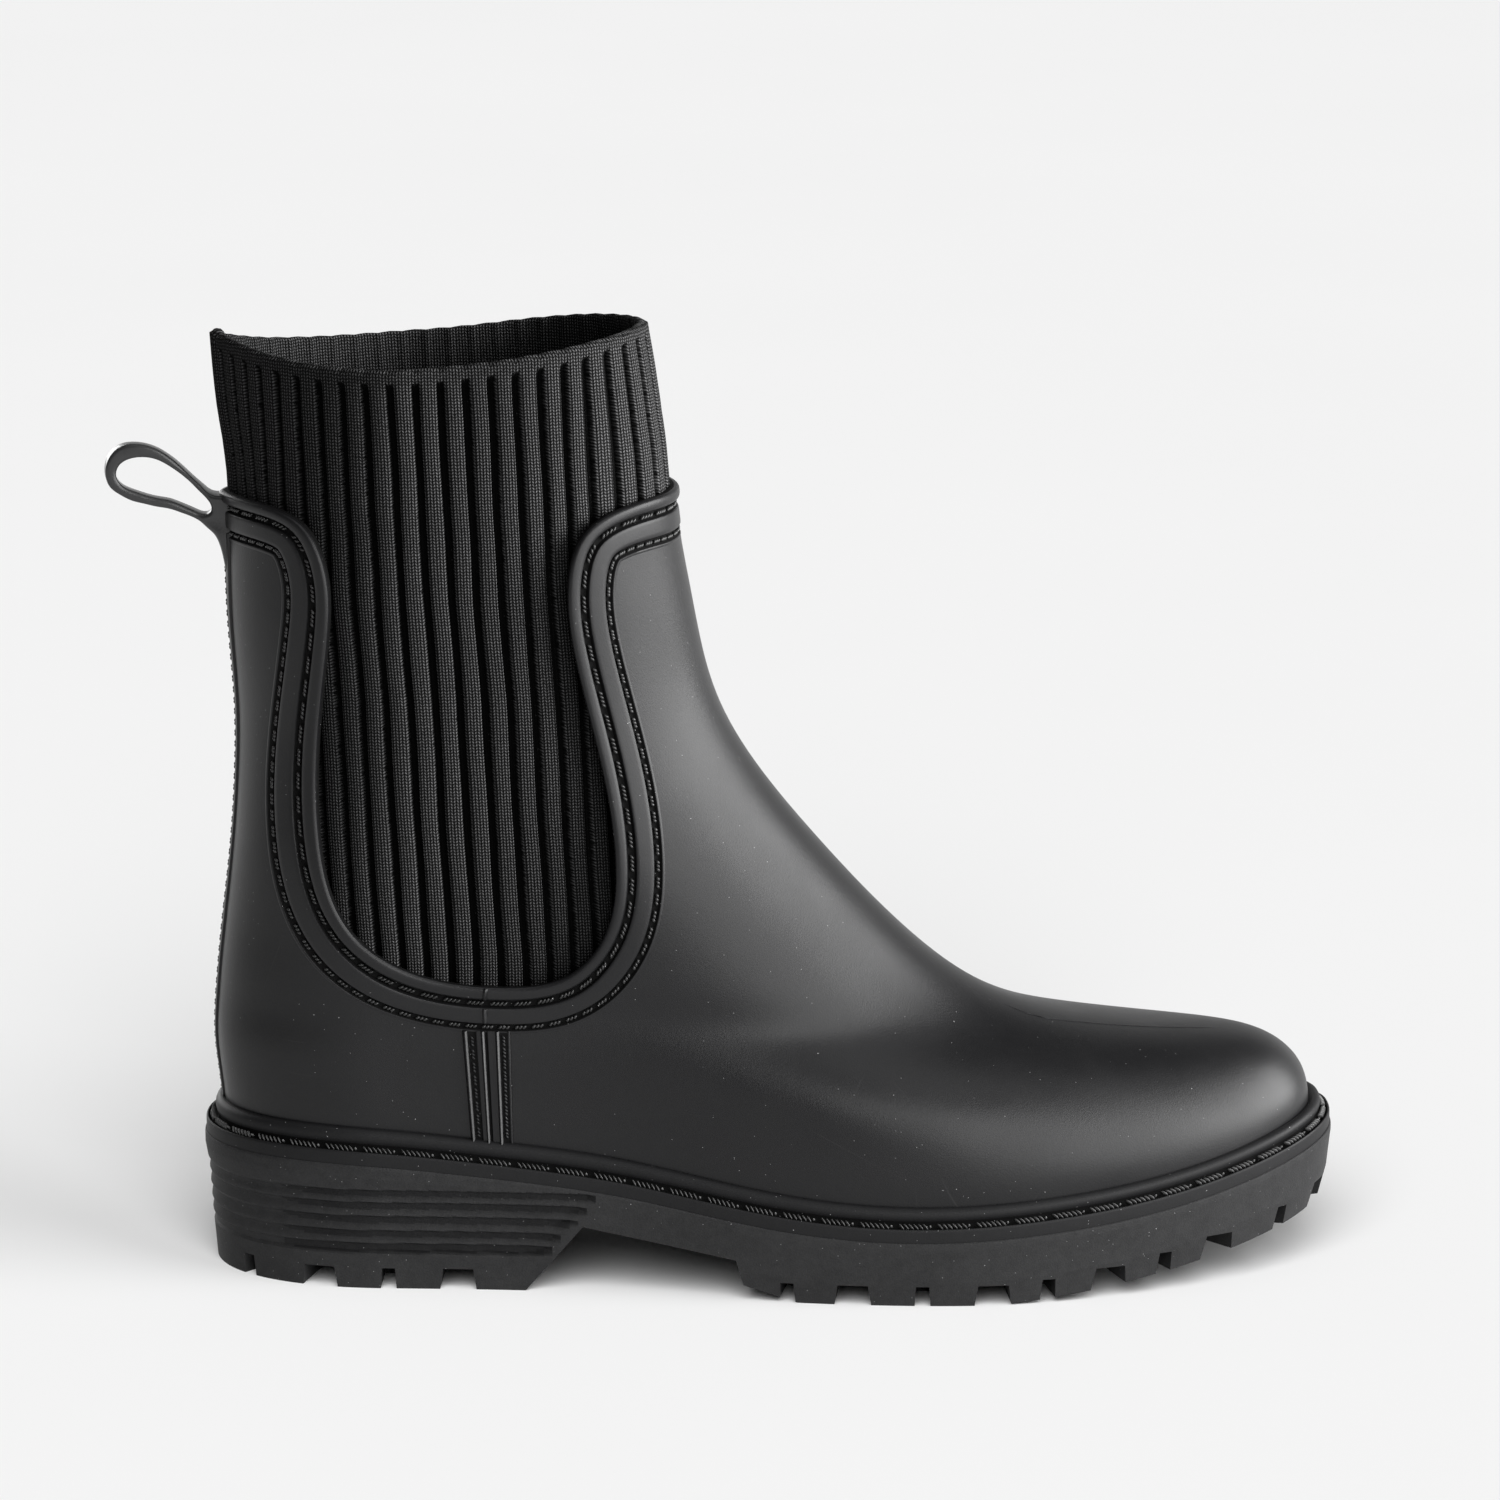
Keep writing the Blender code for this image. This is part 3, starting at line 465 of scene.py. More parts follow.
def makeScratches():
    # hair-thin straight scratches, broken up by a slow noise
    group, take, give = newGroup(
        "hairScratches", [("Vector", "NodeSocketVector", None)], [("Scratch", "NodeSocketFloat")])
    masks = []
    for scale, width, low in patterns["scratches"]:
        cells = group.nodes.new("ShaderNodeTexVoronoi")
        cells.feature = "DISTANCE_TO_EDGE"
        cells.inputs["Scale"].default_value = scale
        group.links.new(take.outputs[0], cells.inputs["Vector"])
        line = addRange(group, cells.outputs["Distance"], width, 0.0)
        broken = addRange(group, addNoise(group, take.outputs[0], scale), low, low + 0.1)
        masks.append(addMath(group, "MULTIPLY", line, broken))
    group.links.new(addMath(group, "MAXIMUM", *masks), give.inputs[0])
    return group


def makeKnitLoops():
    # V stitches: U counts wales, V counts courses; four wales to a rib, its groove at whole ribs. Yarn crests
    # are painted paler than the near-black gaps between loops, painted light and shade on the stitch pattern
    group, take, give = newGroup(
        "knitLoops", [("Weave", "NodeSocketVector", None)],
        [("Height", "NodeSocketFloat"), ("YarnLight", "NodeSocketFloat"), ("GrooveShade", "NodeSocketFloat")])
    split = group.nodes.new("ShaderNodeSeparateXYZ")
    group.links.new(take.outputs[0], split.inputs[0])
    wale = addMath(group, "SUBTRACT", addMath(group, "FRACT", split.outputs[0]), 0.5)
    leg = addMath(group, "ABSOLUTE", wale)
    across = addMath(group, "SINE", addMath(group, "MULTIPLY", leg, 2 * math.pi))
    course = addMath(group, "FRACT", addMath(group, "MULTIPLY_ADD", leg, 1.1, split.outputs[1]))
    along = addMath(group, "SINE", addMath(group, "MULTIPLY", course, math.pi))
    yarn = addMath(group, "MULTIPLY", across, addMath(group, "MULTIPLY_ADD", along, 0.85, 0.15))
    uneven = addNoise(group, take.outputs[0], 1.4, 2.0)
    group.links.new(addMath(group, "POWER", addMath(group, "MAXIMUM", yarn, 0.0), 0.6), give.inputs[0])
    # yarn crests painted pale and gaps painted near black: painted light and shade on the stitch pattern,
    # varied by a random unevenness
    bright = addMath(group, "POWER", addMath(group, "MAXIMUM", yarn, 0.0), 2.2)
    lit = addMath(group, "MULTIPLY_ADD", uneven, 2.2, -0.1)
    group.links.new(addMath(group, "MULTIPLY", bright, lit), give.inputs[1])
    # ragged edges of the groove's painted shade
    turn = addMath(group, "MULTIPLY_ADD", addMath(group, "SUBTRACT", uneven, 0.5), 1.2, split.outputs[0])
    rib = addMath(group, "SUBTRACT", addMath(group, "FRACT", addMath(group, "DIVIDE", turn, 4.0)), 0.5)
    group.links.new(addRange(group, addMath(group, "ABSOLUTE", rib), 0.335, 0.375), give.inputs[2])
    return group


grain, dust, scratches, knitLoops = makeGrain(), makeDust(), makeScratches(), makeKnitLoops()


def newMaterial(name):
    made = bpy.data.materials.new(name)
    made.use_nodes = True
    tree = made.node_tree
    place = tree.nodes.new("ShaderNodeTexCoord")
    return made, tree, tree.nodes["Principled BSDF"], place


def addGroup(tree, group, vector):
    node = tree.nodes.new("ShaderNodeGroup")
    node.node_tree = group
    tree.links.new(vector, node.inputs[0])
    return node


def mixColours(tree, factor, first, second):
    node = tree.nodes.new("ShaderNodeMix")
    node.data_type = "RGBA"
    tree.links.new(factor, node.inputs[0])
    for slot, colour in ((6, first), (7, second)):
        if isinstance(colour, tuple):
            node.inputs[slot].default_value = (*colour, 1.0)
        else:
            tree.links.new(colour, node.inputs[slot])
    return node.outputs[2]


def addBump(tree, height, strength, distance, onto):
    node = tree.nodes.new("ShaderNodeBump")
    node.inputs["Strength"].default_value = strength
    node.inputs["Distance"].default_value = distance
    tree.links.new(height, node.inputs["Height"])
    tree.links.new(node.outputs[0], onto.inputs["Normal"])


def grey(value, cool=0.0):
    return value, value, value + cool


def makeRubber(name, tones, rough, bump, dusty, cool=0.0, speck=0.3, scratched=0.0, shine=0.3):
    made, tree, surface, place = newMaterial(name)
    skin = addGroup(tree, grain, place.outputs["Object"])
    specks = addGroup(tree, dust, place.outputs["Object"])
    specks.inputs[1].default_value = dusty
    slow = addMath(tree, "MULTIPLY_ADD", skin.outputs[1], 0.6, -0.55)
    mottle = addMath(tree, "MULTIPLY_ADD", skin.outputs[0], 0.9, slow)
    tone = mixColours(tree, mottle, *(grey(value, cool) for value in tones))
    if scratched:
        lines = addGroup(tree, scratches, place.outputs["Object"])
        worn = addMath(tree, "MULTIPLY", lines.outputs[0], scratched)
        tone = mixColours(tree, worn, tone, grey(0.09))
    tree.links.new(mixColours(tree, specks.outputs[0], tone, grey(speck)), surface.inputs["Base Color"])
    tree.links.new(addRange(tree, skin.outputs[1], 0.3, 0.7, *rough), surface.inputs["Roughness"])
    surface.inputs["Specular IOR Level"].default_value = shine
    addBump(tree, skin.outputs[0], bump, 0.0001, surface)
    return made


# dark and pale tone, how much bluer than grey, roughness, bump, share of dust
rubberFinishes = {
    "bootRubber": dict(
        tones=(0.003, 0.006), cool=0.0005, rough=(0.37, 0.45), bump=0.36, dusty=0.14, scratched=0.12),
    # paler copy of the boot rubber: painted light on the pull loop
    "loopPaintedLightRubber": dict(
        tones=(0.012, 0.022), cool=0.0005, rough=(0.24, 0.32), bump=0.3, dusty=0.14, shine=0.5),
    # pale and glossy: painted highlight on the seam ridges' falling flanks, which face the light
    "flankHighlightRubber": dict(tones=(0.07, 0.11), rough=(0.2, 0.28), bump=0.2, dusty=0.1, shine=0.5),
    # darker and duller than the boot rubber: painted shade in the grooves of trim and seams and in the welt's
    # channel
    "grooveShadeRubber": dict(tones=(0.002, 0.005), rough=(0.75, 0.85), bump=0.3, dusty=0.3, shine=0.1),
    # paler than the boot rubber: painted highlight on the stitch strands
    "threadGlintRubber": dict(tones=(0.008, 0.024), rough=(0.2, 0.3), bump=0.2, dusty=0.3, speck=0.7, shine=0.38),
    "weltThread": dict(tones=(0.035, 0.12), rough=(0.3, 0.4), bump=0.2, dusty=0.2),
    "knotRubber": dict(tones=(0.07, 0.14), rough=(0.3, 0.4), bump=0.2, dusty=0.2),
    "soleRubber": dict(
        tones=(0.009, 0.029), cool=0.0005, rough=(0.54, 0.66), bump=0.8, dusty=0.3, shine=0.16),
    # darker and duller than the sole rubber: painted shade in the heel's coves
    "coveShadeRubber": dict(tones=(0.006, 0.020), cool=0.0005, rough=(0.6, 0.7), bump=0.8, dusty=0.3, shine=0.12),
    "weltRubber": dict(tones=(0.005, 0.010), cool=0.0005, rough=(0.5, 0.6), bump=0.4, dusty=0.3, shine=0.18),
}
rubbers = {name: makeRubber(name, **finish) for name, finish in rubberFinishes.items()}


def makeKnit(name, dark, pale, deep=None):
    made, tree, surface, place = newMaterial(name)
    loops = addGroup(tree, knitLoops, place.outputs["UV"])
    # near-black gaps to pale yarn crests: painted light and shade on the stitch pattern
    tone = mixColours(tree, loops.outputs[1], dark, pale)
    # the grooves between ribs are coloured near black: painted shade
    if deep:
        tone = mixColours(tree, loops.outputs[2], tone, deep)
    tree.links.new(tone, surface.inputs["Base Color"])
    surface.inputs["Roughness"].default_value = 0.95
    surface.inputs["Specular IOR Level"].default_value = 0.06
    addBump(tree, loops.outputs[0], 0.9, 0.0006, surface)
    return made


knitInside = makeKnit("knitInside", grey(0.001), grey(0.036, 0.0005))
knit = makeKnit("ribKnit", grey(0.001), grey(0.041, 0.0005), grey(0.0005))


def makeFelt(name, dark, pale):
    made, tree, surface, place = newMaterial(name)
    fibre = addNoise(tree, place.outputs["Object"], 1400, 5.0, 0.7)
    tree.links.new(mixColours(tree, fibre, dark, pale), surface.inputs["Base Color"])
    surface.inputs["Roughness"].default_value = 0.95
    addBump(tree, fibre, 0.5, 0.0005, surface)
    return made


felt = makeFelt("insoleFelt", grey(0.020, 0.001), grey(0.040, 0.003))
print("materials ready")


def dress(made, materials, replaced=None, angle=35):
    for material in materials:
        made.data.materials.append(material)
    made.data.shade_smooth()
    made.data.set_sharp_from_angle(angle=math.radians(angle))
    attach(made, "root")
    if replaced:
        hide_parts(replaced)


upper = {
    "wall": 2.2,
    "columns": 288,
    "top": 12.35,
    "railStep": 1.2,
    "edgeStep": 0.7,
    "collar": (7.8, 116.0),  # the trim's back and front on the middle line
    "windowTop": 280.0,
    "windowHalf": 90.0,
    # gusset's edge in side view, with the width of the trim outside it: x, z, width
    "edge": [
        (-30, 190.4, 10.9), (0, 190.4, 10.9), (17, 190.7, 10.9), (27.4, 187.7, 10.9), (33.4, 177, 11.0),
        (33.7, 160, 11.2), (31.2, 138, 11.7), (31, 112, 12.6), (38, 89.6, 12.5), (55, 78.2, 11.4),
        (74, 75.4, 11.0), (90, 78.2, 11.0), (100, 89.6, 11.0), (102.4, 106, 11.1), (98.2, 134, 10.8),
        (92.9, 157, 10.5), (91.4, 173, 10.5), (95.6, 186.2, 10.8), (106.5, 191.4, 11.4), (122, 191.6, 11.6),
        (150, 191.6, 11.6),
    ],
    # share of the trim's width from the gusset's edge, rise in mm:
    # bead, rope groove, flat band, groove, thin lip
    "profile": [
        (0.03, -2.2), (0.0, -1.2), (-0.015, -0.2), (-0.01, 0.45), (0.015, 0.82), (0.05, 1.0), (0.1, 1.06),
        (0.15, 1.04), (0.195, 0.94), (0.23, 0.7), (0.25, 0.2), (0.26, -0.4), (0.276, -0.8), (0.315, -0.95),
        (0.37, -0.95), (0.406, -0.8), (0.42, -0.4), (0.428, 0.05), (0.44, 0.36), (0.462, 0.49), (0.51, 0.52),
        (0.6, 0.53), (0.72, 0.53), (0.78, 0.48), (0.806, 0.3), (0.818, -0.1), (0.83, -0.5), (0.85, -0.75),
        (0.89, -0.82), (0.935, -0.78), (0.96, -0.55), (0.975, -0.2), (0.988, 0.05), (1.0, 0.14), (1.02, 0.13),
        (1.045, 0.02), (1.06, -0.12), (1.06, -0.6), (1.04, -2.2),
    ],
    # trim faces lower than this take the painted groove shade
    "grooveShadeBelow": -0.05,
    # stitches in the two grooves, at a share of the trim's width
    "rope": dict(share=0.342, rise=-0.3, pitch=5.8, strands=4, gap=1.02, size=(1.7, 0.78, 1.0), slant=40),
    "ovals": dict(share=0.9, rise=-0.28, pitch=3.75, strands=3, gap=0.85, size=(1.35, 0.85, 0.9), slant=40),
}

edgeLine = sidePath(upper["edge"], upper["edgeStep"])
heading = np.gradient(edgeLine[:, :2], axis=0)
heading /= np.linalg.norm(heading, axis=1)[:, None]
outerLine = edgeLine[:, :2] + edgeLine[:, 2:] * np.stack([heading[:, 1], -heading[:, 0]], axis=1)
onBoot = (edgeLine[:, 0] > upper["collar"][0]) & (edgeLine[:, 0] < upper["collar"][1])
# rows up the wall, closer over the foot
panelLevels = np.concatenate([
    np.arange(0, 3, 1 / 8), np.arange(3, 8, 1 / 12), np.linspace(8, upper["top"], 36)])


def trimRails():
    # gusset edge and trim's outer edge all the way round, in the form's own terms
    rails = []
    for line in (edgeLine, outerLine):
        u, level = findOnForm(line[onBoot, 0], line[onBoot, 1], -1)
        u[0], u[-1] = 0.0, 1.0
        inner, innerLevel = findOnForm(line[onBoot, 0], line[onBoot, 1], 1)
        inner[0], inner[-1] = 2.0, 1.0
        rails += [np.concatenate([u, inner[-2::-1]]), np.concatenate([level, innerLevel[-2::-1]])]
    rails = np.array(rails)
    middle = onForm((rails[0] + rails[2]) / 2, (rails[1] + rails[3]) / 2)[0]
    return rails, lengthsAlong(middle)


trimRail, trimAlong = trimRails()


def onTrim(distance, share, rise):
    u0, v0, u1, v1 = (np.interp(distance, trimAlong, line) for line in trimRail)
    return onForm(u0 + (u1 - u0) * share, v0 + (v1 - v0) * share, rise)


def placeTrim(a, b):
    row = profilePlace(upper["profile"], b)
    return onTrim(np.mod(a, 1.0) * trimAlong[-1], row[:, 0], row[:, 1])[0]


def placePanel(a, b):
    level = np.interp(b, np.linspace(0, 1, len(panelLevels)), panelLevels)
    return onForm(2 * a, level)[0]


def makePanel():
    panel = meshObject("panel", bentGrid(upper["columns"], len(panelLevels) - 1, placePanel))
    thick = panel.modifiers.new("wall", "SOLIDIFY")
    thick.thickness = upper["wall"] * mm
    thick.offset = -1.0
    thick.use_even_offset = True
    # everything inside the trim's outer edge is cut away
    back, front = upper["edge"][0][0], upper["edge"][-1][0]
    outline = [*outerLine[::2], (front, upper["windowTop"]), (back, upper["windowTop"])]
    bm = bmesh.new()
    pullFace(bm, [(x, -upper["windowHalf"], z) for x, z in outline], (0, 2 * upper["windowHalf"] * mm, 0))
    window = meshObject("window", bm)
    addBoolean(panel, window)
    return bakeModifiers(panel, [window])


sideSeam = {
    "top": EdgePoint(71.3, 64.6),
    "foot": EdgePoint(72.6, 34.0),
    "taper": 0.14,
    "rows": 26,
    # mm from the seam's middle, rise
    "profile": [
        (-6.4, -0.8), (-6.3, 0.0), (-6.05, 0.5), (-5.85, 1.05), (-5.65, 1.3), (-5.45, 1.3), (-5.25, 1.05),
        (-5.05, 0.5), (-4.95, 0.12), (-4.7, 0.09), (-3.2, 0.09), (-3.0, 0.12), (-2.9, 0.45), (-2.7, 0.6),
        (-1.75, 0.62), (-1.6, 0.9), (-1.42, 1.25), (-1.24, 1.32), (-1.05, 1.2), (-0.85, 0.75), (-0.75, 0.15),
        (-0.5, 0.09), (-0.3, 0.12), (-0.2, 0.45), (0.0, 0.6), (1.75, 0.62), (1.95, 0.9), (2.13, 1.25),
        (2.31, 1.32), (2.5, 1.15), (2.7, 0.6), (2.8, 0.12), (3.0, 0.09), (4.5, 0.09), (4.65, 0.12),
        (4.8, 0.3), (5.05, 0.36), (5.35, 0.2), (5.5, 0.0), (5.6, -0.8),
    ],
    # seam faces lower than the first take the painted groove shade; high falling flanks above the second take
    # the painted highlight
    "grooveShadeBelow": 0.18,
    "flankHighlightAbove": 0.7,
    "stitchTop": 63.6,
    "stitchRun": 26.0,
    "stitchRise": 0.22,
    # stitches either side, mm from the seam's middle
    "stitches": {
        -3.95: dict(pitch=3.3, strands=3, gap=0.85, size=(1.4, 0.6, 0.6), slant=38),
        3.75: dict(pitch=2.9, strands=3, gap=0.85, size=(1.4, 0.6, 0.6), slant=38),
    },
}


def seamPlace(cross, z, rise, side):
    top, foot = sideSeam["top"], sideSeam["foot"]
    share = (top.z - z) / (top.z - foot.z)
    middle = top.x + (foot.x - top.x) * share
    u, level = findOnForm(middle + cross * (1 - sideSeam["taper"] * share), z, side)
    return onForm(u, level, rise)


def makeSideSeam(side):
    groove = paintedLightTone(sideSeam["profile"], sideSeam["grooveShadeBelow"], sideSeam["flankHighlightAbove"])

    def place(a, b):
        row = profilePlace(sideSeam["profile"], a)
        z = sideSeam["top"].z + (sideSeam["foot"].z - sideSeam["top"].z) * b
        return seamPlace(row[:, 0], z, row[:, 1], side)[0]

    strip = bentGrid(len(sideSeam["profile"]), sideSeam["rows"], place, tone=lambda a, b: groove(a))
    return closeEnds(strip)


backStay = {
    "top": 181.0,
    "foot": 36.0,
    "rows": 96,
    # mm from the middle of the back, rise
    "profile": [
        (-4.9, -0.8), (-4.8, 0.1), (-4.6, 0.5), (-4.2, 0.62), (-3.2, 0.66), (-2.4, 0.62), (-2.1, 0.4),
        (-1.9, 0.2), (-0.9, 0.2), (-0.7, 0.45), (-0.5, 0.6), (0.0, 0.64), (0.5, 0.6), (0.7, 0.45), (0.9, 0.2),
        (1.9, 0.2), (2.1, 0.4), (2.4, 0.62), (3.2, 0.66), (4.2, 0.62), (4.6, 0.5), (4.8, 0.1), (4.9, -0.8),
    ],
    "stitchAt": 1.4,
    "stitchTop": 178.5,
    "stitchRun": 138.0,
    "stitchRise": 0.42,
    "stitches": dict(pitch=2.7, strands=2, gap=0.8, size=(1.1, 0.6, 0.95), slant=30),
}


def stayPlace(cross, z, rise):
    level = np.interp(z, lattice[:, 0, 2], levels)
    return onForm(cross / np.interp(level, levels, sideLength), level, rise)


def makeBackStay():
    def place(a, b):
        row = profilePlace(backStay["profile"], a)
        z = backStay["top"] + (backStay["foot"] - backStay["top"]) * b
        return stayPlace(row[:, 0], z, row[:, 1])[0]

    return closeEnds(bentGrid(len(backStay["profile"]), backStay["rows"], place))


gussetRidge = {
    # a small raised bar across bead and band under each gusset
    "x": 70.6,
    "below": 90.0,
    "rows": 10,
    "findAt": 0.2,
    "spans": [(0.0, 0.235), (0.45, 0.815)],
    "profile": [
        (-0.7, -0.5), (-0.55, 0.15), (-0.25, 0.6), (0.0, 0.7), (0.35, 0.42), (0.65, 0.05), (0.7, -0.5),
    ],
}


def makeRidges():
    heights = np.array(upper["profile"][2:-2])
    line = onTrim(trimAlong, gussetRidge["findAt"], 0.0)[0]
    low = line[:, 2] < gussetRidge["below"]
    made = []
    for side in (-1, 1):
        near = np.where(low & (line[:, 1] * side > 0), np.abs(line[:, 0] - gussetRidge["x"]), 1e9)
        middle = trimAlong[np.argmin(near)]
        for start, end in gussetRidge["spans"]:

            def place(a, b, middle=middle, start=start, end=end):
                row = profilePlace(gussetRidge["profile"], a)
                share = start + (end - start) * b
                rise = np.interp(share, heights[:, 0], heights[:, 1]) + row[:, 1]
                return onTrim(middle + row[:, 0], share, rise)[0]

            made.append(closeEnds(bentGrid(len(gussetRidge["profile"]), gussetRidge["rows"], place)))
    return made


mouldLine = {
    # where the mould's halves met on the vamp, in the form's own terms
    "path": [
        (0.9688, 5.7), (0.9656, 5.5), (0.9625, 5.2), (0.971, 4.85), (0.98, 4.35), (0.9875, 3.9), (0.993, 3.5),
    ],
    "profile": [(-0.6, -0.4), (-0.45, 0.0), (0.0, 0.1), (0.45, 0.0), (0.6, -0.4)],
    "rows": 60,
    "levelHeight": 17,
    "fade": 0.2,
}


def makeMouldLine():
    path = np.array(mouldLine["path"])
    at = np.arange(len(path))

    def place(a, b):
        row = profilePlace(mouldLine["profile"], a)
        u, level = (spline(at, path[:, k])(b * at[-1]) for k in (0, 1))
        ends = ease(b, 0, mouldLine["fade"]) * (1 - ease(b, 1 - mouldLine["fade"], 1))
        rise = np.where(row[:, 1] > 0, row[:, 1] * ends, row[:, 1])
        return onForm(u, level + row[:, 0] / mouldLine["levelHeight"], rise)[0]

    return closeEnds(bentGrid(len(mouldLine["profile"]), mouldLine["rows"], place))


def makeUpper():
    panel = makePanel()
    shell = bmesh.new()
    shell.from_mesh(panel.data)
    bpy.data.objects.remove(panel)
    rows = len(upper["profile"])
    groove = paintedLightTone(upper["profile"], upper["grooveShadeBelow"])
    trim = bentGrid(round(trimAlong[-1] / upper["railStep"]), rows, placeTrim, tone=lambda a, b: groove(b))
    strips = [makeSideSeam(-1), makeSideSeam(1), makeBackStay(), makeMouldLine(), *makeRidges()]
    made = meshObject("upperWall", shell, trim, *strips)
    # boot rubber, painted groove shade, painted flank highlight
    finishes = [rubbers[name] for name in ("bootRubber", "grooveShadeRubber", "flankHighlightRubber")]
    dress(made, finishes, "upper")


def ropeBeads(bm, place, total, rope):
    # groups of slanted strands at an even pitch
    count = round(total / rope["pitch"])
    for strand in range(rope["strands"]):
        at = (np.arange(count) + 0.5) * total / count + (strand - (rope["strands"] - 1) / 2) * rope["gap"]
        points, normals = place(at)
        ways = place(at + 0.2)[0] - points
        addBeads(bm, points, ways, normals, rope["size"], math.radians(rope["slant"]))


def makeStitches():
    threads, plain = bmesh.new(), bmesh.new()
    for rope in (upper["rope"], upper["ovals"]):

        def alongTrim(at, rope=rope):
            return onTrim(at, rope["share"], rope["rise"])

        ropeBeads(threads, alongTrim, trimAlong[-1], rope)
    for side in (-1, 1):
        for cross, rope in sideSeam["stitches"].items():

            def down(at, cross=cross, side=side):
                return seamPlace(cross, sideSeam["stitchTop"] - at, sideSeam["stitchRise"], side)

            ropeBeads(plain, down, sideSeam["stitchRun"], rope)
    for cross in (-backStay["stitchAt"], backStay["stitchAt"]):

        def behind(at, cross=cross):
            return stayPlace(cross, backStay["stitchTop"] - at, backStay["stitchRise"])

        ropeBeads(threads, behind, backStay["stitchRun"], backStay["stitches"])
    dress(meshObject("seamStitches", plain), [rubbers["bootRubber"]], angle=180)
    dress(meshObject("trimStitches", threads), [rubbers["threadGlintRubber"]], angle=180)


makeUpper()
makeStitches()
print("upper ready")


knitShaft = {
    "ribs": 46,
    # columns over one rib, from groove to groove
    "rib": [0, 0.075, 0.14, 0.165, 0.21, 0.32, 0.5, 0.68, 0.79, 0.835, 0.86, 0.925],
    # from a rib's middle to its groove, share of the depth
    "crest": [(0.05, 0), (0.3, 0.02), (0.55, 0.08), (0.66, 0.18), (0.72, 1)],
    "rise": 1.9,
    "insideRib": (0.25, 0.2),
    "wales": 4,
    "course": 0.76,
    # ribs lean forward downwards: height, mm
    "lean": [
        (81.0, 5.4), (117.0, 3.3), (145.6, 2.0), (169.7, 0.3), (198.8, -0.9), (220.6, -1.9), (232.0, -2.3),
    ],
    "leanFrom": 220.6,
    "settle": 0.16,
    # small waves along each rib: mm, turn for height, turn round the tube
    "sway": [(0.06, 0.19, 61), (0.06, 0.083, -97)],
    "wall": 1.9,
    "inset": 3.2,
    # how much fuller the knit is over the top line: height, back, front
    "spread": [
        (186.0, 0.0, 0.0), (191.0, 1.4, 1.2), (195.6, 0.75, 0.9), (203.0, 0.0, 0.5), (210.0, -0.2, -0.1),
        (217.5, -0.35, -0.2), (229.0, -0.45, 0.0),
    ],
    # rolled seam down the back
    "around": 260,
    "seam": 3.0,
    "seamEdge": 0.4,
    "seamOut": 0.55,
    "seamUp": 0.8,
    "half": 34.5,
    # the tube's lower edge, which climbs over the instep from the bend on
    "foot": 63.0,
    "instep": 124.0,
    "bend": 85.0,
    "run": 34.0,
    # the rim dips towards its middle
    "dip": 5.9,
    "dipLean": 0.75,
    # rows up the outside, over the rim and down the inside; heights near the rim are shares of the whole
    "outerRows": 40,
    "underRim": [0.972, 0.98, 0.987, 0.994, 1.0],
    "ribsEnd": (0.976, 0.989),
    "rimRows": 6,
    "rimRise": 0.006,
    "rimWave": 0.2,
    "innerRows": 18,
    "front": [
        EdgePoint(122.5, 60.0), EdgePoint(121.4, 110.0), EdgePoint(119.6, 150.0), EdgePoint(117.4, 189.0),
        EdgePoint(116.4, 211.5), EdgePoint(113.1, 231.4),
    ],
}

knitFront = spline([p.z for p in knitShaft["front"]], [p.x for p in knitShaft["front"]])
backLine = spline([s.backZ for s in last["sections"]], [s.backX for s in last["sections"]])
lookX, lookZ = np.arange(0, 281.0), np.arange(58.0, 238.0)
lookLevels = np.linspace(0, 14.5, 117)
ankleSection, collarSection, collarLevel = last["sections"][9], last["sections"][-1], 12.0


def makeLook():
    # half width and middle of the form on a side-view raster
    lines = [sectionLine(level, dense) for level in lookLevels]
    heights = np.array([np.interp(lookX, line[0], line[3]) for line in lines])
    found = []
    for k in (1, 2):
        values = np.array([np.interp(lookX, line[0], line[k]) for line in lines])
        columns = zip(heights.T, values.T)
        found.append(np.array([np.interp(lookZ, height, value) for height, value in columns]))
    return found


lookMiddle, lookHalf = makeLook()


def look(grid, x, z):
    x, z = np.clip(x, 0, len(lookX) - 1.001), np.clip(z - lookZ[0], 0, len(lookZ) - 1.001)
    i, j = np.floor(x).astype(int), np.floor(z).astype(int)
    fx, fz = x - i, z - j
    low = grid[i, j] * (1 - fz) + grid[i, j + 1] * fz
    high = grid[i + 1, j] * (1 - fz) + grid[i + 1, j + 1] * fz
    return low * (1 - fx) + high * fx


def chordShares():
    # way round the collar against way forward
    x, _, half, _ = sectionLine(collarLevel, dense)
    along = lengthsAlong(np.stack([x, half], axis=1))
    return along / along[-1], (x - x[0]) / (x[-1] - x[0])


turnShare, chordShare = chordShares()


def knitHeights(share):
    # foot and top of the tube
    top = collarSection.backZ + (collarSection.frontZ - collarSection.backZ) * share
    top = top - knitShaft["dip"] * np.sin(math.pi * share ** knitShaft["dipLean"])
    reach = ankleSection.backX + (knitShaft["front"][0].x - ankleSection.backX) * share
    drop = np.clip((reach - knitShaft["bend"]) / knitShaft["run"], 0, 1) ** 2
    return knitShaft["foot"] + (knitShaft["instep"] - knitShaft["foot"]) * drop, top


def knitEdges(z, inset, share):
    # the tube's inset at a height, with its back and front
    fuller = np.array(knitShaft["spread"])
    back, front = (np.interp(z, fuller[:, 0], fuller[:, k]) for k in (1, 2))
    inset = inset - back - (front - back) * share
    return inset, backLine(z) + inset, knitFront(z) - inset


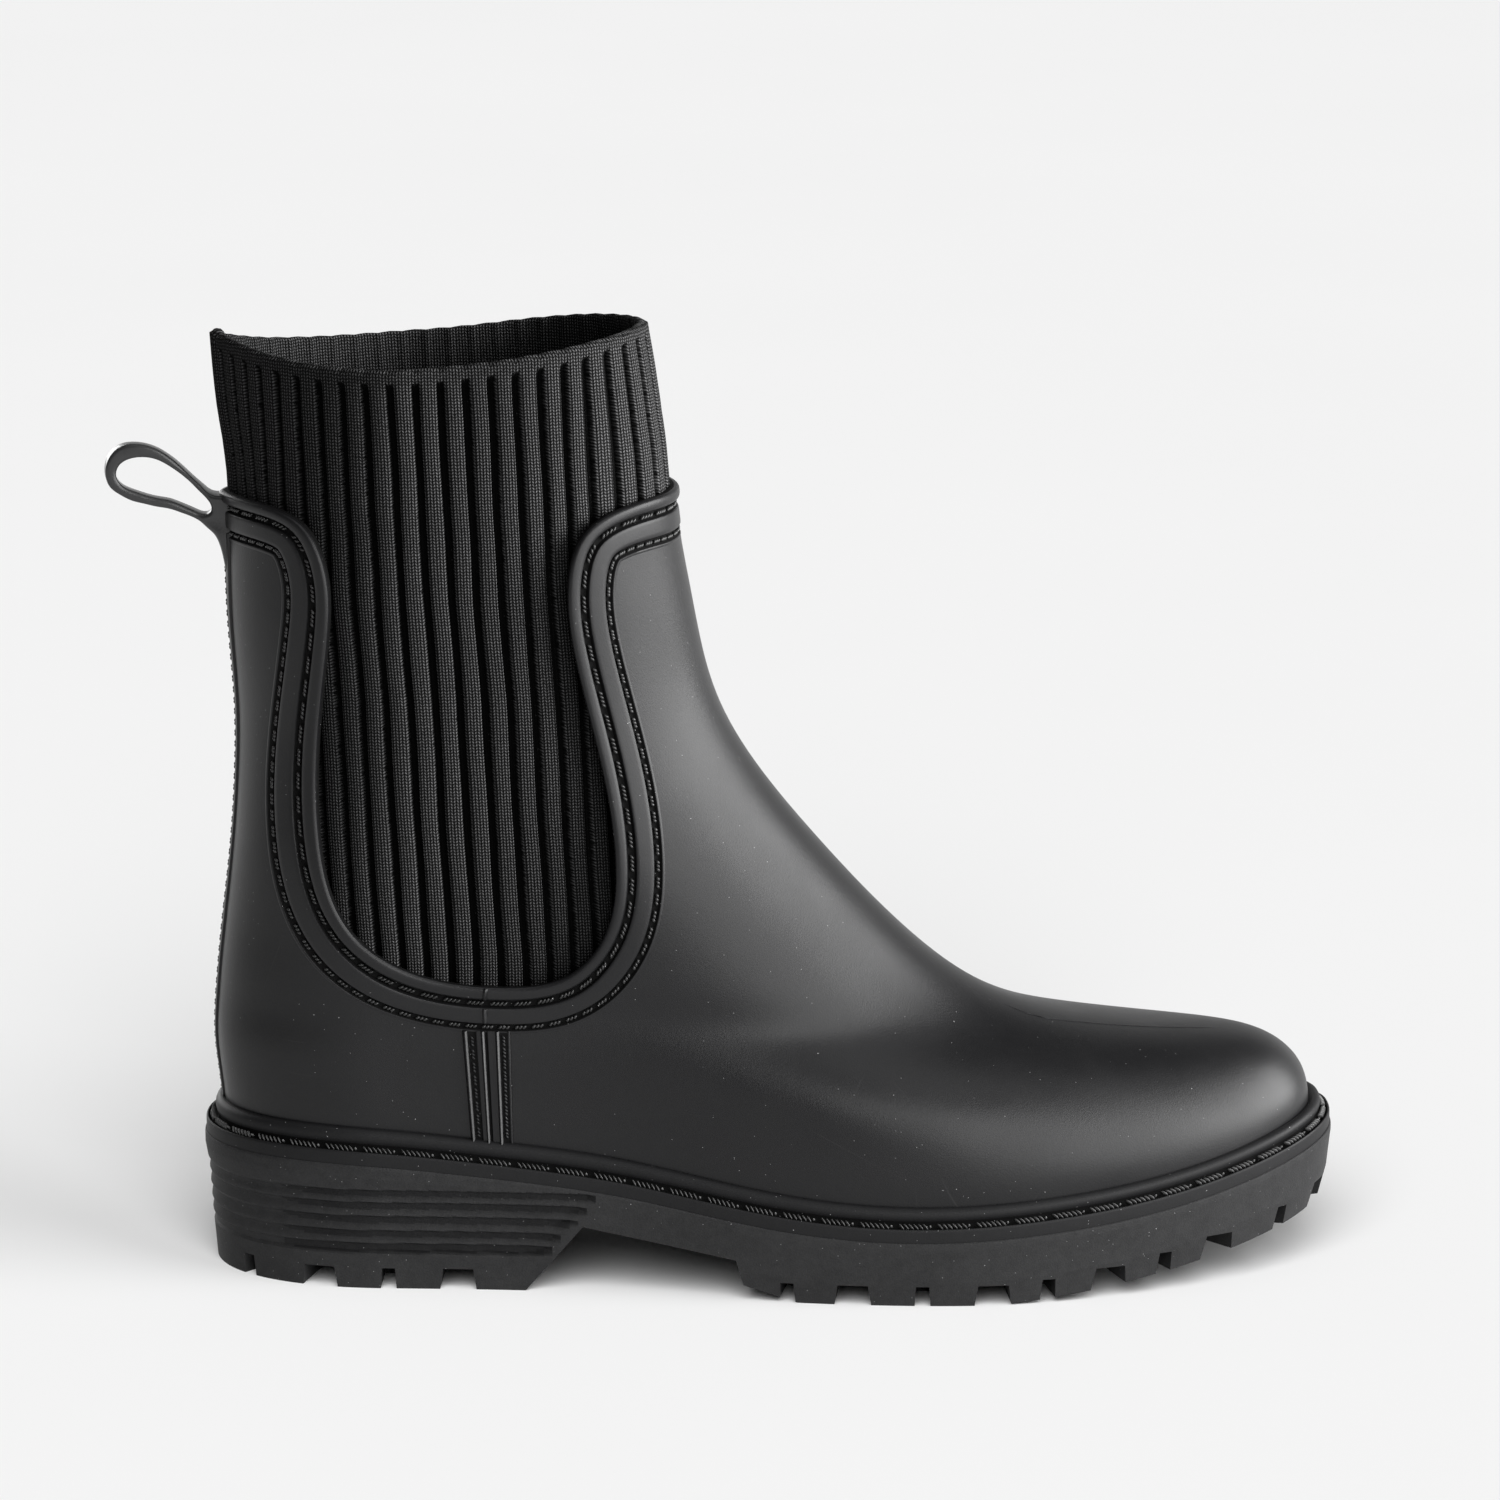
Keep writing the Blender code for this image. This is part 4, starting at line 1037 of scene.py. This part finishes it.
def knitPoint(share, side, z, inset):
    inset, back, front = knitEdges(z, inset, share)
    x = back + (front - back) * share
    at = x - inset * (1 - 2 * share)
    half = look(lookHalf, at, z) * (1 - inset / knitShaft["half"])
    # the front is rounded off: the smaller width holds, with a soft change-over
    close = 2 * knitShaft["half"] * roundedEnd(front - x, 2 * knitShaft["half"], 2.0)
    half = (np.maximum(half, 0.01) ** -4 + np.maximum(close, 0.01) ** -4) ** -0.25
    half = np.where((share < 1e-9) | (share > 1 - 1e-9), 0.0, half)
    return np.stack([x, look(lookMiddle, at, z) + side * half, z], axis=1)


def knitRows():
    # height share and depth into the wall for each row: up the outside, over the rim, down the inside
    ribbed = np.linspace(0, knitShaft["underRim"][0], knitShaft["outerRows"] + 1)
    outer = [(height, 0.0) for height in (*ribbed, *knitShaft["underRim"][1:])]
    turns = [math.pi * k / knitShaft["rimRows"] for k in range(1, knitShaft["rimRows"])]
    rim = [(1 + knitShaft["rimRise"] * math.sin(turn), 0.5 - 0.5 * math.cos(turn)) for turn in turns]
    inner = [(height, 1.0) for height in np.linspace(1, 0, knitShaft["innerRows"] + 1)]
    return np.array(outer + rim + inner)


knitLevels = knitRows()


def knitParts(a, b):
    turn = np.where(a <= 0.5, 2 * a, 2 - 2 * a)
    share = np.interp(turn, turnShare, chordShare)
    row = profilePlace(knitLevels, b)
    foot, top = knitHeights(share)
    z = foot + (top - foot) * row[:, 0]
    # each rib keeps its own way forward, whatever the edges do
    _, back, front = knitEdges(knitShaft["leanFrom"], knitShaft["inset"], share)
    start = back + (front - back) * share
    _, back, front = knitEdges(z, knitShaft["inset"], share)
    sway = sum(size * np.sin(rise * z + turns * a) for size, rise, turns in knitShaft["sway"])
    target = (start + sway + np.interp(z, *np.array(knitShaft["lean"]).T) - back) / (front - back)
    free = ease(share, 0, knitShaft["settle"]) * (1 - ease(share, 1 - knitShaft["settle"], 1))
    return share + free * (target - share), row, z


def ribTurn(a):
    # evenly spaced columns gathered at the edges of the grooves
    count = len(knitShaft["rib"])
    index = np.round(np.asarray(a) * knitShaft["ribs"] * count).astype(int)
    return (index // count + np.array(knitShaft["rib"])[index % count]) / knitShaft["ribs"]


def placeKnit(a, b):
    a = ribTurn(a)
    share, row, z = knitParts(a, b)
    height, depth = row.T
    crest = np.abs(np.mod(a * knitShaft["ribs"], 1.0) - 0.5) * 2
    # ribs stop under the rim and beside the seam
    low, high = knitShaft["seam"] - knitShaft["seamEdge"], knitShaft["seam"] + knitShaft["seamEdge"]
    seam = 1 - ease(np.minimum(a, 1 - a) * knitShaft["around"], low, high)
    groove = np.interp(crest, *np.array(knitShaft["crest"]).T)
    groove = groove * (1 - ease(height, *knitShaft["ribsEnd"])) * (1 - seam)
    flat, ribbed = knitShaft["insideRib"]
    ribs = np.where(depth > 0, flat + ribbed * ease(crest, 0.5, 1.0), groove) * knitShaft["rise"]
    inset = knitShaft["inset"] + ribs + depth * knitShaft["wall"]
    inset = inset - knitShaft["seamOut"] * seam * (depth < 0.5)
    z = z + knitShaft["seamUp"] * seam * (height > 0.99)
    z = z + knitShaft["rimWave"] * (1 - crest) * ease(height, 0.97, 1.0)
    return knitPoint(share, np.where(a <= 0.5, -1, 1), z, inset)


def knitMarks(a, b):
    a = ribTurn(a)
    return a * knitShaft["ribs"] * knitShaft["wales"], knitParts(a, b)[2] / knitShaft["course"]


def knitTone(a, b):
    # plain knit from the rim inwards
    return b * len(knitLevels) > knitShaft["outerRows"] + 2


knitColumns = knitShaft["ribs"] * len(knitShaft["rib"])
knitGrid = bentGrid(knitColumns, len(knitLevels), placeKnit, knitMarks, knitTone)
dress(meshObject("knitShaft", knitGrid), (knit, knitInside), "knit_shaft", 50)
print("knit ready")


welt = {
    "columns": 420,
    # mm out from the feather edge, mm up from the seat: bead, stitch channel, lip
    "profile": [
        (-0.8, 6.6), (0.5, 7.15), (1.2, 7.2), (1.8, 6.95), (2.3, 6.5), (2.62, 5.9), (2.65, 5.2), (2.4, 4.5),
        (2.0, 4.0), (1.9, 3.2), (2.1, 2.4), (2.7, 2.0), (3.8, 2.0), (4.2, 2.4), (4.35, 2.8), (4.5, 3.02),
        (4.7, 3.1), (4.88, 3.02), (5.0, 2.8), (5.03, 2.4), (5.03, 0.5), (5.0, -0.6), (4.4, -0.6),
        (-0.8, -0.4),
    ],
    "channel": (7, 15),  # rows of the profile painted dark: painted shade in the stitch channel
    # the bead stands higher round the heel and the waist: x, mm
    "higher": [(0.0, 0.9), (95.0, 0.8), (150.0, 0.5), (215.0, 0.2), (280.0, 0.0)],
    "bead": (4.2, 6.4),  # heights over which that comes in
    "pitch": 9.3,
    # mm out and up
    "pitchLine": (3.85, 3.35),
    "stitchLine": (3.35, 3.45),
    "lean": (0.75, 0.66),
    "strands": 6,
    "strandGap": 1.16,
    "firstStrand": -2.8,
    "strandSize": (2.1, 0.42, 1.3),
    "strandSlant": -48,
    "knotSize": (0.62, 0.58, 1.25),
}


def featherRing(a):
    # the upper's foot all the way round, with the same x on both sides
    a = np.mod(a, 1.0)
    turn = np.where(a <= 0.5, 2 * a, 2 - 2 * a)
    share = (1 - np.cos(math.pi * turn)) / 2
    x, middle, half, z = sectionLine(0.0, share)
    return np.stack([x, middle + np.where(a <= 0.5, -1, 1) * half, z], axis=1)


def outwardWays(a):
    a, step = np.mod(a, 1.0), 1e-4
    way = featherRing(a + step) - featherRing(a - step)
    out = np.stack([way[:, 1], -way[:, 0], np.zeros(len(a))], axis=1)
    return out / np.linalg.norm(out, axis=1)[:, None]


def weltPoints(a, out, up):
    points = featherRing(a) + np.asarray(out)[..., None] * outwardWays(a)
    points[:, 2] = seatZ(points[:, 0]) + last["gap"] + up
    return points


def placeWelt(a, b):
    out, up = profilePlace(welt["profile"], b).T
    higher = np.interp(featherRing(a)[:, 0], *np.array(welt["higher"]).T)
    return weltPoints(a, out, up + higher * ease(up, *welt["bead"]))


def weltTone(a, b):
    return welt["channel"][0] < b * len(welt["profile"]) < welt["channel"][1]


def makeWeltStitches():
    fine = np.linspace(0, 1, 4001)
    along = lengthsAlong(weltPoints(fine, *welt["pitchLine"]))
    count = round(along[-1] / welt["pitch"])
    stitches, knots = bmesh.new(), bmesh.new()
    # one more than the strands: the last of each group is the knot at its front end
    for strand in range(welt["strands"] + 1):
        ahead = (strand + welt["firstStrand"]) * welt["strandGap"]
        at = ((np.arange(count) + 0.5) / count + ahead / along[-1]) * along[-1]
        a = np.mod(np.interp(at, along, fine), 1.0)
        points = weltPoints(a, *welt["stitchLine"])
        ways = weltPoints(a + 1e-3, *welt["stitchLine"]) - points
        normals = outwardWays(a) * welt["lean"][0] + np.array([0, 0, welt["lean"][1]])
        if strand < welt["strands"]:
            addBeads(stitches, points, ways, normals, welt["strandSize"], math.radians(welt["strandSlant"]))
        else:
            addBeads(knots, points, ways, normals, welt["knotSize"])
    dress(meshObject("weltStitches", stitches), [rubbers["weltThread"]], angle=180)
    dress(meshObject("weltKnots", knots), [rubbers["knotRubber"]], angle=180)


def makeWelt():
    strip = bentGrid(welt["columns"], len(welt["profile"]), placeWelt, tone=weltTone)
    # welt rubber, and painted shade for its stitch channel
    finishes = [rubbers[name] for name in ("weltRubber", "grooveShadeRubber")]
    dress(meshObject("weltStrip", strip), finishes, "welt")


makeWeltStitches()
makeWelt()
print("welt ready")


SlotRun = namedtuple("SlotRun", "x pitch count firstWide shifts")
Pad = namedtuple("Pad", "back front crosses")

outsole = {
    "columns": 360,
    "wallRows": 81,
    "rim": 5.4,
    "draft": 2.6,
    "lugDepth": 5.2,
    "breast": 80.0,
    "breastTop": 94.0,
    "archHeight": 17.0,
    "ballStep": EdgePoint(131.0, 10.4),
    "ballFoot": EdgePoint(132.8, 4.0),
    "forefoot": 146.0,
    "heelEnd": 100.0,
    # the block that cuts the arch
    "cutBack": 12.0,
    "cutDown": 20.0,
    "cutHalf": 80.0,
    "band": 18.0,
    # width, length inwards
    "wideSlot": (7.4, 22.0),
    "narrowSlot": (3.2, 12.0),
    "slotOut": 6.0,
    "splay": 1.4,
    "bar": 5.0,
    "reach": 0.56,
    # inset of the side from the tread up: share of the height, at the forefoot, at the heel
    "wall": [
        (0, 2.6, 2.6), (0.38, 0.9, 1.6), (0.74, 0.3, 0.9), (0.9, 0.0, 0.0), (0.985, 0.0, 0.0),
        (1, 0.25, 0.25),
    ],
    # heights of the heel's ledges
    "ledges": [8.8, 11.7, 15.0, 18.7, 22.2, 25.4],
    "ledgeDepth": 1.6,
    "ledgeStop": 3.2,
    "ledgeFull": (12.0, 34.0),
    "ledgeAtBack": 0.3,
    # coves deeper than this share of the ledge depth get painted shade
    "coveShadeDepth": 0.55,
    # slots along the edge, each with the mm it stands off the even pitch
    "runs": [
        SlotRun(63.6, -17.0, 4, 1, [0.0, 0.0, 0.0, -3.0]),
        SlotRun(143.4, 15.9, 10, 0, [0.0, 0.0, 0.9, 2.0, -0.5, -1.0, -2.6, -3.7, 0.0, 1.5]),
    ],
    "pads": [Pad(20.0, 66.0, 2), Pad(156.0, 250.0, 4)],
}


def wallInset(x, share):
    shares, fores, heels = zip(*outsole["wall"])
    fore, heel = np.interp(share, shares, fores), np.interp(share, shares, heels)
    blend = np.clip((outsole["heelEnd"] - x) / (outsole["heelEnd"] - outsole["breast"]), 0, 1)
    return fore + (heel - fore) * blend


def ledgeInset(x, z):
    # shingled ledges round the heel, ending at its slanted front
    slant = (outsole["breastTop"] - outsole["breast"]) * z / outsole["archHeight"]
    front = outsole["breast"] + slant - outsole["ledgeStop"]
    lows = np.array(outsole["ledges"])
    index = np.clip(np.searchsorted(lows, z) - 1, 0, len(lows) - 2)
    share = np.clip((z - lows[index]) / (lows[index + 1] - lows[index]), 0, 1)
    inside = (z > lows[0]) & (z < lows[-1])
    # each is a cove, deepest right under the edge above it
    rise = np.where(index == 0, ease(share, 0.0, 0.3), ease(share, 0.0, 0.8))
    wave = rise * (1 - ease(share, 0.86, 1.0)) * inside
    # shallow at the back, deeper along the side
    least = outsole["ledgeAtBack"]
    depth = outsole["ledgeDepth"] * (least + (1 - least) * ease(x, *outsole["ledgeFull"]))
    return depth * wave * (1 - ease(x, front - 0.5, front + 0.5))


def towardSpine(points, feather, reach, share):
    # moves ring points towards the middle line, where both sides meet
    ends = last["sections"][0]
    x = feather[:, 0] + reach * (2 * (feather[:, 0] - ends.backX) / (ends.frontX - ends.backX) - 1)
    spine = np.stack([x, planSwing(x), points[:, 2]], axis=1)
    return points * (1 - share) + spine * share


def soleRows():
    # way in to the middle line and height share: over the tread, up the side, over the seat
    wall = [(0.0, share) for share in np.linspace(0, 1, outsole["wallRows"])]
    return np.array([(1.0, 0.0), (0.5, 0.0), (0.03, 0.0)] + wall + [(0.03, 1.0), (0.5, 1.0), (1.0, 1.0)])


soleLevels = soleRows()


def placeSole(a, b):
    row = soleLevels[np.round(b * (len(soleLevels) - 1)).astype(int)]
    feather, out = featherRing(a), outwardWays(a)
    x = feather[:, 0]
    z = treadZ(x) + row[:, 1] * (seatZ(x) - treadZ(x))
    inset = wallInset(x, row[:, 1]) + ledgeInset(x, z)
    points = feather + (outsole["rim"] - inset)[:, None] * out
    points = towardSpine(points, feather, outsole["rim"] - inset, row[:, :1])
    x = points[:, 0]
    points[:, 2] = treadZ(x) + row[:, 1] * (seatZ(x) - treadZ(x))
    return points


def halfEdge(side):
    # one side of the tread's edge from back to toe, the way inwards and the lengths along
    a = np.linspace(0 if side < 0 else 1, 0.5, 600)
    out = outwardWays(a)
    points = featherRing(a) + (outsole["rim"] - outsole["draft"]) * out
    return points, -out, lengthsAlong(points)


edges = {side: halfEdge(side) for side in (-1, 1)}


def makeSlot(side, run, index):
    points, ways, along = edges[side]
    at = np.interp(run.x, points[:, 0], along) + run.pitch * index + run.shifts[index]
    point = np.array([np.interp(at, along, points[:, k]) for k in range(3)])
    way = np.array([np.interp(at, along, ways[:, k]) for k in range(3)])
    way /= np.linalg.norm(way)
    wide = (index + run.firstWide) % 2 == 1
    width, length = outsole["wideSlot" if wide else "narrowSlot"]
    middle = point + way * (length - outsole["slotOut"]) / 2
    middle[2] = treadZ(middle[0])
    slope = float(treadZ(middle[0] + 4) - treadZ(middle[0] - 4)) / 8
    turn = Matrix.Rotation(math.atan2(way[1], way[0]), 4, "Z")
    turn = turn @ Matrix.Rotation(-math.atan(slope * way[0]), 4, "Y")
    size = Vector((length + outsole["slotOut"], width, 2 * outsole["lugDepth"])) * mm
    bm = bmesh.new()
    bmesh.ops.create_cube(bm, size=1.0)
    bmesh.ops.scale(bm, vec=size, verts=bm.verts)
    bmesh.ops.scale(bm, vec=(1, outsole["splay"], 1), verts=[v for v in bm.verts if v.co.z < 0])
    bmesh.ops.transform(bm, matrix=Matrix.Translation(Vector(toWorld(middle))) @ turn, verts=bm.verts)
    return meshObject("slot", bm)


def addSlab(bm, outline, reach):
    # a plan outline as far below the tread as above it
    pullFace(bm, [(x, y, float(treadZ(x)) - reach) for x, y in outline], (0, 0, 2 * reach * mm))


def crossOutline(arm):
    bar = outsole["bar"] / 2
    points = []
    for quarter in range(4):
        turn = math.radians(45 + 90 * quarter)
        c, s = math.cos(turn), math.sin(turn)
        points += [(x * c - y * s, x * s + y * c) for x, y in ((arm, -bar), (arm, bar), (bar, bar))]
    return points


def makeRecess(pad):
    # the sunk middle of the tread, round its crossed bars
    x = np.linspace(pad.back, pad.front, 9)
    near, far = (np.interp(x, *edges[side][0].T[:2]) - side * outsole["band"] for side in (-1, 1))
    bm, crosses = bmesh.new(), bmesh.new()
    addSlab(bm, [*zip(x, near), *zip(x[::-1], far[::-1])], outsole["lugDepth"])
    step = (pad.front - pad.back) / pad.crosses
    for index in range(pad.crosses):
        middle = pad.back + step * (index + 0.5)
        low, high = np.interp(middle, x, near), np.interp(middle, x, far)
        arm = outsole["reach"] * min(high - low, step)
        outline = [(middle + dx, (low + high) / 2 + dy) for dx, dy in crossOutline(arm)]
        addSlab(crosses, outline, 2 * outsole["lugDepth"])
    recess, lugs = meshObject("recess", bm), meshObject("lugs", crosses)
    addBoolean(recess, lugs)
    return bakeModifiers(recess, [lugs])


def makeArchCut():
    arch = [
        (outsole["breast"], 0.0), (outsole["breastTop"], outsole["archHeight"]), outsole["ballStep"],
        outsole["ballFoot"], (outsole["forefoot"], 0.0), (outsole["forefoot"], -outsole["cutDown"]),
        (outsole["breast"] - outsole["cutBack"], -outsole["cutDown"]),
    ]
    bm = bmesh.new()
    pullFace(bm, [(x, -outsole["cutHalf"], z) for x, z in arch], (0, 2 * outsole["cutHalf"] * mm, 0))
    return meshObject("archCut", bm)


def makeOutsole():
    sole = meshObject("soleBlock", bentGrid(outsole["columns"], len(soleLevels) - 1, placeSole))
    tools = [makeArchCut()] + [makeRecess(pad) for pad in outsole["pads"]]
    for side in (-1, 1):
        for run in outsole["runs"]:
            tools += [makeSlot(side, run, index) for index in range(run.count)]
    cutters = bpy.data.collections.new("cutters")
    for tool in tools:
        cutters.objects.link(tool)
    addBoolean(sole, cutters)
    bakeModifiers(sole, tools)
    bpy.data.collections.remove(cutters)
    finishes = [rubbers[name] for name in ("soleRubber", "coveShadeRubber")]
    dress(sole, finishes, "outsole", 28)
    # the coves under the heel's edges take a darker rubber: painted shade
    for face in sole.data.polygons:
        x, _, z = np.array(face.center) / mm - shift
        if ledgeInset(x, z) > outsole["coveShadeDepth"] * outsole["ledgeDepth"]:
            face.material_index = 1


makeOutsole()
print("outsole ready")


pullLoop = {
    "width": 8.4,
    "narrow": 5.0,
    "step": 0.6,
    "round": 0.9,
    "twist": 1.3,
    # where the strap narrows and hangs out, in mm behind the heel
    "narrowing": (-7, -1),
    "hanging": (-4, 12),
    # where it wraps the collar, in mm down and forward
    "wrapUnder": (-191, -184),
    "wrapFrom": (0, 5),
    # x, z
    "outer": [
        (9.6, 166), (7.5, 171.4), (6.1, 177.7), (4.7, 180.6), (3.3, 182), (1.8, 183.5), (0.4, 184.4),
        (-2.5, 185.6), (-5.4, 186.6), (-8.3, 187.1), (-11.2, 187.8), (-14, 188.5), (-17, 190), (-19.3, 191.8),
        (-20.4, 195.6), (-19.3, 199.3), (-17, 201.5), (-13.3, 202.3), (-10.5, 202), (-7.7, 201),
        (-5.1, 199.3), (-2.6, 197.1), (0, 194.4), (2.7, 191.8), (4.2, 190.5), (6.5, 190), (9.5, 190.2),
        (11, 187), (11.4, 178), (11, 170),
    ],
    "hole": [
        (4.4, 187), (4, 185.9), (2.8, 185.2), (1.4, 185.6), (0, 186.3), (-2.6, 187.5), (-5.1, 188.5),
        (-7.7, 189), (-10.4, 189.7), (-13.3, 190.7), (-16.2, 192.1), (-17.8, 194.7), (-17, 197.2),
        (-14, 198.9), (-11.2, 199.2), (-8.3, 198.7), (-5.4, 197.2), (-2.5, 195.1), (0.4, 192.4), (1.8, 190.9),
        (3.3, 189.4),
    ],
}


def makePullLoop():
    curve = bpy.data.curves.new("pullLoop", "CURVE")
    curve.dimensions = "2D"
    curve.fill_mode = "BOTH"
    curve.extrude = (pullLoop["width"] / 2 - pullLoop["round"]) * mm
    curve.bevel_depth = pullLoop["round"] * mm
    curve.bevel_resolution = 3
    curve.offset = -pullLoop["round"] * mm
    for name in ("outer", "hole"):
        line = sidePath(pullLoop[name], pullLoop["step"], closed=True)
        strand = curve.splines.new("POLY")
        strand.points.add(len(line) - 1)
        strand.use_cyclic_u = True
        for point, (x, z) in zip(strand.points, line):
            point.co = (x * mm, z * mm, 0.0, 1.0)
    flat = bpy.data.objects.new("pullLoop", curve)
    bpy.context.scene.collection.objects.link(flat)
    bm = bmesh.new()
    view = bpy.context.evaluated_depsgraph_get()
    bm.from_mesh(bpy.data.meshes.new_from_object(flat.evaluated_get(view)))
    bpy.data.objects.remove(flat)
    bmesh.ops.remove_doubles(bm, verts=bm.verts, dist=1e-6)
    for v in bm.verts:
        x, z, y = v.co.x / mm, v.co.y / mm, -v.co.z / mm
        # the strap widens towards its root, and its far edge hangs a little further out
        y *= 1 - (1 - pullLoop["narrow"] / pullLoop["width"]) * float(ease(-x, *pullLoop["narrowing"]))
        x -= pullLoop["twist"] * (y / pullLoop["width"] + 0.5) * float(ease(-x, *pullLoop["hanging"]))
        side, middle = stayPlace(np.array([abs(y), 0.0]), np.array([z, z]), 0.0)[0][:, 0]
        wrap = float(ease(-z, *pullLoop["wrapUnder"])) * float(ease(x, *pullLoop["wrapFrom"]))
        x += float(side - middle) * wrap
        v.co = toWorld((x, y, z))
    bmesh.ops.recalc_face_normals(bm, faces=bm.faces)
    dress(meshObject("pullLoop", bm), [rubbers["loopPaintedLightRubber"]], "pull_loop", 40)


makePullLoop()
print("pull loop ready")


insole = {
    "columns": 200,
    "thick": 4.0,
    "inset": 3.2,
    # way in to the middle line, height share, further inset: under, round the edge, over the top
    "rows": [
        (1.0, 0.0, 0.0), (0.5, 0.0, 0.0), (0.0, 0.0, 0.3), (0.0, 0.5, 0.0), (0.0, 0.85, 0.1), (0.0, 1.0, 0.6),
        (0.5, 1.0, 0.6), (1.0, 1.0, 0.6),
    ],
}


def placeInsole(a, b):
    rows = np.array(insole["rows"])
    row = rows[np.round(b * (len(rows) - 1)).astype(int)]
    feather = featherRing(a)
    inset = insole["inset"] + row[:, 2]
    points = feather - inset[:, None] * outwardWays(a)
    points = towardSpine(points, feather, -inset, row[:, :1])
    points[:, 2] = seatZ(points[:, 0]) + last["gap"] + insole["thick"] * row[:, 1]
    return points


insoleGrid = bentGrid(insole["columns"], len(insole["rows"]) - 1, placeInsole)
dress(meshObject("insolePad", insoleGrid), [felt], "insole", 50)
print("insole ready")


studio = {
    "floor": 9.0,
    "floorTones": (0.86, 0.88),
    "world": 0.1,
    # power, spread, turn; for the floor alone
    "suns": {"frontSun": (3.28, 50, (47, -3)), "rightSun": (1.6, 44, (18, 58))},
    # place, target, size, power; for the boot alone, the back card as the pale room behind
    "boxes": {
        "rightBox": ((1.5, -0.1, 0.61), (0.02, 0, 0.1), (1.8, 1.1), 68),
        "frontBox": ((0.74, -1.3, 0.53), (0.02, 0, 0.08), (1.6, 1.15), 28),
        "topBox": ((0.1, -0.5, 1.7), (0.0, 0, 0.1), (1.4, 1.0), 6),
        "leftBox": ((-0.9, 1.1, 0.4), (0.0, 0, 0.08), (1.0, 0.6), 9),
        "backCard": ((0.4, 2.2, 0.5), (0.0, 0, 0.1), (3.0, 1.0), 6),
        "floorGlow": ((0.86, -0.48, 0.004), (0.86, -0.48, 1.0), (1.05, 0.75), 11),
    },
    # the knit takes more from the right
    "knitBoxes": {"knitBox": ((1.4, -0.36, 0.5), (0.0, 0, 0.17), (0.8, 0.8), 165)},
    "camera": (134.36, -1555.8, 488.5),
    "cameraDown": 13.10,
    "lens": 157.6,
    "sensor": 36.0,
}


def makeFloor():
    bm = bmesh.new()
    bmesh.ops.create_grid(bm, x_segments=8, y_segments=8, size=studio["floor"])
    floor = meshObject("floor", bm)
    made, tree, surface, place = newMaterial("paleFloor")
    cloud = addNoise(tree, place.outputs["Object"], 3.0, 2.0)
    tone = mixColours(tree, cloud, *(grey(value) for value in studio["floorTones"]))
    tree.links.new(tone, surface.inputs["Base Color"])
    surface.inputs["Roughness"].default_value = 0.7
    surface.inputs["Specular IOR Level"].default_value = 0.1
    floor.data.materials.append(made)


def makeWorld():
    world = bpy.data.worlds.new("studio")
    world.use_nodes = True
    world.node_tree.nodes["Background"].inputs[0].default_value = (1, 1, 1, 1)
    world.node_tree.nodes["Background"].inputs[1].default_value = studio["world"]
    bpy.context.scene.world = world


def addLight(name, light, lit):
    made = bpy.data.objects.new(name, light)
    made.light_linking.receiver_collection = lit
    bpy.context.scene.collection.objects.link(made)
    return made


def addSuns(suns, lit):
    for name, (power, spread, turn) in suns.items():
        sun = bpy.data.lights.new(name, "SUN")
        sun.energy = power
        sun.angle = math.radians(spread)
        addLight(name, sun, lit).rotation_euler = (math.radians(turn[0]), math.radians(turn[1]), 0)


def addBoxes(boxes, lit):
    for name, (place, target, size, power) in boxes.items():
        light = bpy.data.lights.new(name, "AREA")
        light.shape = "RECTANGLE"
        light.size, light.size_y = size
        light.energy = power
        made = addLight(name, light, lit)
        made.location = place
        made.visible_camera = False
        made.rotation_euler = (Vector(target) - Vector(place)).to_track_quat("-Z", "Y").to_euler()


def makeLights():
    names = ("stageLit", "bootLit", "knitLit")
    stageLit, bootLit, knitLit = (bpy.data.collections.new(name) for name in names)
    for made in bpy.context.scene.objects:
        if made.type == "MESH":
            (stageLit if made.name == "floor" else bootLit).objects.link(made)
    knitLit.objects.link(bpy.context.scene.objects["knitShaft"])
    addSuns(studio["suns"], stageLit)
    addBoxes(studio["boxes"], bootLit)
    addBoxes(studio["knitBoxes"], knitLit)


def makeCamera():
    data = bpy.data.cameras.new("camera")
    data.lens = studio["lens"]
    data.sensor_width = studio["sensor"]
    camera = bpy.data.objects.new("camera", data)
    camera.location = toWorld(studio["camera"])
    camera.rotation_euler = (math.radians(90 - studio["cameraDown"]), 0, 0)
    bpy.context.scene.collection.objects.link(camera)
    bpy.context.scene.camera = camera


makeFloor()
makeWorld()
makeLights()
makeCamera()
bpy.context.scene.view_settings.view_transform = "Standard"
print("light and camera ready")
